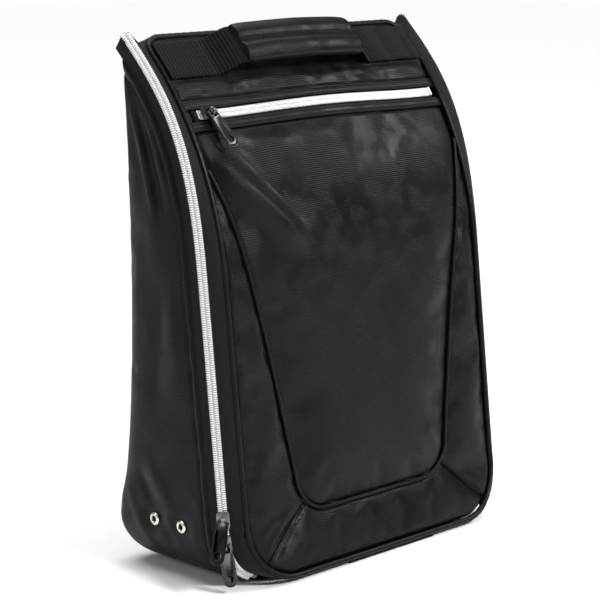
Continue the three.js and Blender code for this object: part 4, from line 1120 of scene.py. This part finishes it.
def sides():
    us, vs = places(90, 1.7, (5,)), places(360, 2.6)
    for name, sign in (("left", -1), ("right", 1)):
        inward = (-sign, 0, 0)
        surface = side_surface(sign, 0, side_relief(sign))
        grid = swollen(surface, inward, us, vs, (22, 70), 1.2, 1.6, off_eyelets)
        thick = side_surface(sign, 2.0, None)(*np.meshgrid(us, vs))
        cloth = slab(
            f"side_cloth_{name}", grid, thick, LIT_SIDE_CLOTH, "shell",
            slot="coated_cloth", replaces=[f"side_panel_{name}"],
        )
        inside = np.meshgrid(np.linspace(0.04, 0.97, 30), np.linspace(0.03, 0.985, 80))
        outer = side_surface(sign, 2.75, None)(*inside)
        inner = side_surface(sign, 3.6, None)(*inside)
        lining = slab(
            f"side_lining_cloth_{name}", outer, inner, LINING_CLOTH, "shell",
            slot="lining", replaces=[f"side_lining_{name}"],
        )
        column = int(np.argmin(np.abs(us * 90 - 5)))
        line = grid[8:-6, column]
        sew("shell", line, np.tile([sign * 1.0, 0, 0], (len(line), 1)))


def back():
    def surface(u, v):
        z = 1.5 + (BACK_TOP - 1.5) * v
        half = half_room(z, 0) - REAR_ROUND + 0.6
        x = (2 * u - 1) * half
        edge = (1 - np.abs(2 * u - 1)) * half
        y = back_y(z)
        hold = smooth(0, 16, edge) * smooth(4, 30, z) * smooth(0, 14, BACK_TOP - z)
        places_xyz = np.stack([x, 0 * x + 40, z], -1)
        out = pillow(1.6, 22, edge + 1, z - 2, BACK_TOP + 2 - z) - 0.8 * np.exp(-((edge / 1.5) ** 2))
        out = out + hold * (1.2 * waves(places_xyz, 60, 11.3) + 0.35 * waves(places_xyz, 20, 5.1))
        out = out + hold * (
            fold(x, z, (-110, 300), (-60, 250), 1.5, 9) + fold(x, z, (112, 290), (70, 230), 1.4, 9)
            + fold(x, z, (-90, 60), (-30, 34), 1.4, 8) + fold(x, z, (84, 66), (20, 36), 1.4, 8)
            + fold(x, z, (-20, 200), (60, 140), -1.2, 14)
        )
        return np.stack([x, y + out, z], -1)

    us, vs = places(250, 2.6), places(320, 2.6)
    grid = swollen(surface, (0, -1, 0), us, vs, (46, 56), 1.5, 1.8)
    inner = grid.copy()
    inner[..., 1] -= 2.2
    cloth = slab("back_cloth", grid, inner, CLOTH, "shell", slot="coated_cloth", replaces=["back_panel"])
    for sign in (-1, 1):
        heights = np.linspace(4, BACK_TOP - 1, 160)
        x = half_room(heights, 0) - REAR_ROUND + 0.3
        line = np.stack([sign * x, back_y(heights) + 0.1, heights], -1)
        name = "left" if sign < 0 else "right"
        tube(f"back_seam_{name}", line, 1.1, CLOTH, "shell", 10, slot="coated_cloth")
    u, v = np.meshgrid(np.linspace(0, 1, 50), np.linspace(0, 1, 60))
    z = 14 + (BACK_TOP - 18) * v
    x = (2 * u - 1) * (half_room(z, 4))
    ripple = 0.6 * waves(np.stack([x, 0 * x, z], -1), 30, 8.8)
    outer = np.stack([x, back_y(z) - 2.9, z], -1)
    inner = np.stack([x, back_y(z) - 4.0 - np.abs(ripple), z], -1)
    more = {"slot": "lining", "replaces": ["back_lining"]}
    lining = slab("back_lining_cloth", outer, inner, LINING_CLOTH, "shell", **more)


def base():
    low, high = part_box("base_panel")
    half, front, rear = high.x / MM + 0.6, low.y / MM, high.y / MM + 1
    u, v = np.meshgrid(places(2 * half, 3), places(rear - front, 3))
    x, y = (2 * u - 1) * half, front + (rear - front) * v
    edge = np.minimum((1 - np.abs(2 * u - 1)) * half, np.minimum(y - front, rear - y))
    outer = np.stack([x, y, 0.02 + 0.5 * np.exp(-edge / 1.2)], -1)
    inner = np.stack([x, y, 0 * x + 2.35], -1)
    slab("base_cloth", outer, inner, CLOTH, "shell", slot="coated_cloth", replaces=["base_panel"])
    low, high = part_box("hinge_web")
    u, v = np.meshgrid(np.linspace(0, 1, 60), np.linspace(0, 1, 16))
    x = (2 * u - 1) * high.x / MM
    y = low.y / MM + (high.y - low.y) / MM * v
    ripple = 0.15 * np.sin(x * 0.35) * np.sin(math.pi * v)
    outer, inner = np.stack([x, y, 0.5 + 0 * x], -1), np.stack([x, y, 1.5 + ripple], -1)
    crossing = ("shell", "lid", (0, (high.y - 0.003), 0.001), (0, low.y, 0.001))
    web = slab("hinge_cloth", outer, inner, TAPE, crossing, slot="zip_tape", replaces=["hinge_web"])
    low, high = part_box("base_strip")
    x0, x1, y0, y1 = low.x / MM, high.x / MM, low.y / MM, high.y / MM
    u, v = np.meshgrid(np.linspace(0, 1, 80), np.linspace(0, 1, 10))
    x, y = x0 + (x1 - x0) * u, y0 + (y1 - y0) * v
    roll = 1.2 * np.sqrt(np.clip(1 - (2 * v - 1) ** 4, 0.04, 1)) * np.clip(np.minimum(u, 1 - u) * 40, 0.4, 1)
    outer = np.stack([x, y, 0.1 + roll], -1)
    slab("bound_strip", outer, np.stack([x, y, 0.02 + 0 * x], -1), WEBBING_CLOTH, "shell",
         slot="webbing", replaces=["base_strip"])


def lathe(name, outline, origin, axis, material, body, sides=40, **more):
    """A turned ring: the outline holds (radius, place along the axis)."""
    outline = np.array(outline, float)
    side = unit(np.cross(axis, (0, 0.3, 1.0)))
    other = np.cross(axis, side)
    angle = np.linspace(0, 2 * math.pi, sides, endpoint=False)
    ring = np.cos(angle)[:, None] * side + np.sin(angle)[:, None] * other
    points = origin + outline[:, None, :1] * ring[None] + outline[:, None, 1:] * np.asarray(axis)
    count = len(outline)
    k = np.arange(count * sides).reshape(count, sides)
    after, turn = np.roll(k, -1, axis=0), np.roll(k, -1, axis=1)
    faces = np.stack([k, turn, np.roll(after, -1, axis=1), after], -1).reshape(-1, 4).tolist()
    points = points.reshape(-1, 3)
    return piece(name, points, outward_faces(points, faces), material, body, **more)


def eyelets():
    turn = np.linspace(0, math.pi * 0.55, 8)
    curve = [(2.0 + 0.9 * (1 - math.cos(a)), 0.5 + 0.75 * math.sin(a)) for a in turn]
    curve += [(4.1, 0.75), (4.4, 0.45), (4.35, 0.1), (2.6, 0.05), (2.5, -4.6), (2.3, -5.1), (2.0, -4.9)]
    for name, sign in (("left", -1), ("right", 1)):
        for place, y in zip(("front", "rear"), EYELET_Y):
            origin = np.array([sign * (SHELL_HALF + 0.3), y, EYELET_Z])
            axis = np.array([sign * 1.0, 0, 0])
            lathe(f"eyelet_ring_{name}_{place}", curve, origin, axis, EYELET, "shell",
                  slot="eyelet_metal", replaces=[f"eyelet_{name}_{place}"])
            hole = [(0.01, -0.6), (2.05, -0.6), (2.05, -1.0), (0.01, -1.0)]
            lathe(f"eyelet_shade_{name}_{place}", hole, origin, axis, TAPE, "shell", 24,
                  slot="zip_tape")


# ---- sliders and pulls ------------------------------------------------------------------------------
def raise_rim(source):
    """The two broad faces are sunk a little inside their outline, and round the pull's eye."""
    broadest = max(source.faces, key=lambda face: face.calc_area())
    for sign in (1, -1):
        way = broadest.normal.copy() * sign
        level = max(vertex.co.dot(way) for vertex in source.verts)
        facing = [f for f in source.faces if f.normal.dot(way) > 0.999]
        flat = [f for f in facing if level - f.calc_center_median().dot(way) < 0.2 * MM]
        if flat:
            sunk = {"thickness": 0.7 * MM, "depth": -0.3 * MM}
            bmesh.ops.inset_region(source, faces=flat, use_even_offset=True, **sunk)


def rounded_copy(name, node, body, width=0.28, rim=False):
    """A CAD metal piece with its sharp edges rounded, as cast and painted metal has them."""
    source = bmesh.new()
    source.from_mesh(frame["nodes"][node].data)
    bmesh.ops.remove_doubles(source, verts=source.verts, dist=1e-6)
    flat = math.radians(2)
    bmesh.ops.dissolve_limit(source, angle_limit=flat, verts=source.verts, edges=source.edges)
    if rim:
        raise_rim(source)
    mesh = bpy.data.meshes.new(name)
    source.to_mesh(mesh)
    source.free()
    mesh.materials.clear()
    mesh.materials.append(SLIDER)
    obj = bpy.data.objects.new(name, mesh)
    bpy.context.scene.collection.objects.link(obj)
    bevel = obj.modifiers.new("bevel", "BEVEL")
    bevel.width = width * MM
    bevel.segments = 2
    bevel.limit_method = "ANGLE"
    bevel.angle_limit = math.radians(35)
    bevel.use_clamp_overlap = True
    made = bpy.data.meshes.new_from_object(obj.evaluated_get(bpy.context.evaluated_depsgraph_get()))
    obj.modifiers.clear()
    obj.data = made
    made.polygons.foreach_set("use_smooth", np.ones(len(made.polygons), bool))
    return finish(obj, body, [node])


def sliders():
    for place in ("upper", "lower", "pocket"):
        rounded_copy(f"{place}_zip_slider", f"{place}_slider", f"{place}_slider")
        rounded_copy(f"{place}_zip_pull", f"{place}_pull", f"{place}_pull", 0.2, rim=True)


# ---- handle -----------------------------------------------------------------------------------------
HANDLE_OUT = np.array(joints["handle_lift"]["axis"], float)
HANDLE_RUN = float(run_at(330.7))
handle_y, handle_z, _ = profile(HANDLE_RUN)
HANDLE_ORIGIN = np.array([HANDLE_X, float(handle_y), float(handle_z)])
GRIP_CENTRE = 13.2


def on_handle(along, up, out):
    along, up, out = np.broadcast_arrays(along, up, out)
    return (
        HANDLE_ORIGIN
        + along[..., None] * np.array([1.0, 0, 0])
        + up[..., None] * np.array([0, HANDLE_OUT[2], -HANDLE_OUT[1]])
        + out[..., None] * HANDLE_OUT
    )


def grip():
    end_steps = np.array([0, 0.6, 1.6])
    middle = np.linspace(-GRIP_HALF + 3, GRIP_HALF - 3, 60)
    along = np.concatenate([end_steps - GRIP_HALF, middle, GRIP_HALF - end_steps[::-1]])
    angle = np.linspace(0, 2 * math.pi, 72, endpoint=False)
    a, s = np.meshgrid(angle, along)
    end = 1 - 0.1 * np.exp(-((GRIP_HALF - np.abs(s)) / 1.2))
    half, tall = 15.4, 4.3
    across = half * np.sign(np.cos(a)) * np.abs(np.cos(a)) ** 0.55 * end
    high = tall * np.sign(np.sin(a)) * np.abs(np.sin(a)) ** 0.62 * end
    top = np.clip(np.sin(a), 0, 1)
    lobe = 1.5 * top * np.abs(np.sin(np.clip(across / half, -1, 1) * math.pi)) ** 0.8
    seam = -1.5 * top * np.exp(-((across / 1.0) ** 2))
    hem = -0.6 * np.exp(-(((GRIP_HALF - np.abs(s) - 4) / 0.8) ** 2))
    arch = 2.6 * (1 - (s / GRIP_HALF) ** 2)
    lumps = 0.45 * waves(np.stack([s, across, high], -1), 16, 3.3) * smooth(0, 8, GRIP_HALF - np.abs(s))
    high = high + lobe + seam + (hem + lumps) * np.maximum(np.sin(a), 0) ** 0.5
    outer = on_handle(s, across, GRIP_CENTRE + arch + high)
    rows, columns = outer.shape[:2]
    k = np.arange(rows * columns).reshape(rows, columns)
    turn = np.roll(k, -1, axis=1)
    faces = np.stack([k[:-1], turn[:-1], turn[1:], k[1:]], -1).reshape(-1, 4).tolist()
    faces += [k[0, ::-1].tolist(), k[-1].tolist()]
    points = outer.reshape(-1, 3)
    uv = np.stack([a * 10, s], -1).reshape(-1, 2)
    nodes = ["grip_wrap", "grip_padding"]
    wrap = piece("grip_cover", points, outward_faces(points, faces), CLOTH, "handle", uv=uv,
                 slot="coated_cloth", replaces=nodes)
    for offset in (-1.9, 1.9):
        run = np.linspace(-GRIP_HALF + 3, GRIP_HALF - 3, 50)
        lift = GRIP_CENTRE + 2.6 * (1 - (run / GRIP_HALF) ** 2) + tall + 0.45
        sew("handle", on_handle(run, offset, lift), np.tile(HANDLE_OUT, (50, 1)))


def strap(name, path, body, node):
    """Webbing along a line of (x, out) in the handle's frame."""
    x, out = path
    v = np.linspace(-1, 1, 25)
    up = v * WEBBING_HALF
    s, w = np.meshgrid(x, up, indexing="ij")
    lift = np.broadcast_to(np.asarray(out)[:, None], s.shape)
    curl = 0.35 * (np.abs(v) ** 6)[None, :]
    outer = on_handle(s, w, lift + WEBBING - curl)
    inner = on_handle(s, w, lift)
    return slab(name, outer, inner, WEBBING_CLOTH, body, slot="webbing", replaces=[node])


def webbing():
    start = GRIP_HALF - 3
    for name, sign in (("left", -1), ("right", 1)):
        x = np.linspace(start, LEG_FOOT + 3, 40)
        share = smooth(GRIP_HALF + 0.35, LEG_FOOT, x)
        rise = (GRIP_CENTRE - 0.9 - 0.35) * (1 - share) + 0.5
        leg = (sign * x, rise)
        low, high = on_handle(0, 0, 0.5) * MM, on_handle(0, 0, GRIP_CENTRE - 3) * MM
        crossing = ("lid", "handle", tuple(low), tuple(high))
        strap(f"leg_webbing_{name}", leg, crossing, f"handle_leg_{name}")
        rim = sign * (LID_HALF - 2.6) - HANDLE_X
        x = np.linspace(sign * (LEG_FOOT - 0.5), rim, 50)
        hold = smooth(0, 8, np.abs(x - x[0])) * smooth(0, 8, np.abs(rim - x))
        wave = (0.9 if sign > 0 else 0.3) * hold * np.sin((np.abs(x) - LEG_FOOT) / 6.5)
        strap(f"anchor_webbing_{name}", (x, 0.7 + np.abs(wave)), "lid", f"webbing_anchor_{name}")
        cross = np.linspace(-WEBBING_HALF + 2, WEBBING_HALF - 2, 20)
        for inset in (2.5, 6.0, 9.5):
            line = on_handle(sign * (LEG_FOOT + inset), cross, 2.6)
            sew("lid", line, np.tile(HANDLE_OUT, (20, 1)))


# ---- all of it --------------------------------------------------------------------------------------
def stitches():
    for body, runs in stitch_runs.items():
        points, faces, uv = joined(runs)
        piece(f"{body}_stitches", points, faces, THREAD, body, uv=uv, slot="webbing")


def cad_pieces():
    finishes = {"washer": EYELET, "zip_stop": SLIDER, "pocket_stop": SLIDER, "base_board": BOARD}
    for name, node in frame["nodes"].items():
        for start, material in finishes.items():
            if name.startswith(start):
                node.data.materials.clear()
                node.data.materials.append(material)


CAMERA_TARGET = (0.0, 0.0228, 0.1617)
CAMERA_DISTANCE = 1.402
CAMERA_AZIMUTH, CAMERA_ELEVATION, CAMERA_ROLL = (math.radians(d) for d in (-44.83, 11.06, -0.35))


def camera():
    data = bpy.data.cameras.new("camera")
    data.lens, data.sensor_width = 122.6, 36
    data.clip_start, data.clip_end = 0.05, 50
    obj = bpy.data.objects.new("camera", data)
    bpy.context.scene.collection.objects.link(obj)
    a, e = CAMERA_AZIMUTH, CAMERA_ELEVATION
    back = Vector((math.sin(a) * math.cos(e), -math.cos(a) * math.cos(e), math.sin(e)))
    turn = back.to_track_quat("Z", "Y") @ Matrix.Rotation(CAMERA_ROLL, 3, "Z").to_quaternion()
    obj.rotation_mode = "QUATERNION"
    obj.rotation_quaternion = turn
    obj.location = Vector(CAMERA_TARGET) + back * CAMERA_DISTANCE
    bpy.context.scene.camera = obj


def area_light(name, place, target, size, power):
    data = bpy.data.lights.new(name, "AREA")
    data.shape, data.size, data.size_y, data.energy = "RECTANGLE", size[0], size[1], power
    obj = bpy.data.objects.new(name, data)
    bpy.context.scene.collection.objects.link(obj)
    obj.location = place
    way = Vector(place) - Vector(target)
    obj.rotation_mode = "QUATERNION"
    obj.rotation_quaternion = way.to_track_quat("Z", "Y")


SURROUND = 0.18  # the room's light, beside the white backdrop that the camera sees


def sun_light(name, direction, strength, spread):
    data = bpy.data.lights.new(name, "SUN")
    data.energy, data.angle = strength, math.radians(spread)
    obj = bpy.data.objects.new(name, data)
    bpy.context.scene.collection.objects.link(obj)
    obj.rotation_mode = "QUATERNION"
    obj.rotation_quaternion = Vector(direction).to_track_quat("Z", "Y")


def studio():
    scene = bpy.context.scene
    scene.view_settings.view_transform = "Standard"
    world = bpy.data.worlds.new("studio")
    world.use_nodes = True
    ground = world.node_tree.nodes["Background"]
    seen = world.node_tree.nodes.new("ShaderNodeLightPath").outputs["Is Camera Ray"]
    shade = world.node_tree.nodes.new("ShaderNodeMapRange")
    shade.inputs["To Min"].default_value, shade.inputs["To Max"].default_value = SURROUND, 1.0
    world.node_tree.links.new(seen, shade.inputs["Value"])
    world.node_tree.links.new(shade.outputs[0], ground.inputs["Strength"])
    ground.inputs["Color"].default_value = (1, 1, 1, 1)
    scene.world = world
    reach = 6.0
    mesh = bpy.data.meshes.new("floor")
    corners = [(x * reach, y * reach, 0) for x, y in ((-1, -1), (1, -1), (1, 1), (-1, 1))]
    mesh.from_pydata(corners, [], [(0, 1, 2, 3)])
    floor = bpy.data.objects.new("floor", mesh)
    floor.location.z = -0.0004
    scene.collection.objects.link(floor)
    nodes = Nodes("floor")
    nodes.set(Base_Color=(0.95, 0.95, 0.95, 1), Roughness=0.9, Specular_IOR_Level=0.1)
    mesh.materials.append(nodes.material)
    sun_light("sky", (0.15, 0.25, 0.93), 2.8, 60)
    area_light("front", (0.12, -1.5, 1.2), (0, 0, 0.25), (0.42, 0.26), 30)
    area_light("right", (1.35, -0.9, 1.3), (0, 0, 0.3), (0.6, 0.6), 15)
    area_light("side", (-1.7, 0.7, 0.9), (0, 0, 0.2), (0.5, 0.5), 6)


camera()
studio()
pocket_front()
lid_top()
facings()
border_sides()
border_bottom()
mitre_stitches()
piping()
lid_layers()
sides()
back()
base()
zip_tapes()
main_coil()
pocket_zip()
eyelets()
sliders()
grip()
webbing()
stitches()
cad_pieces()
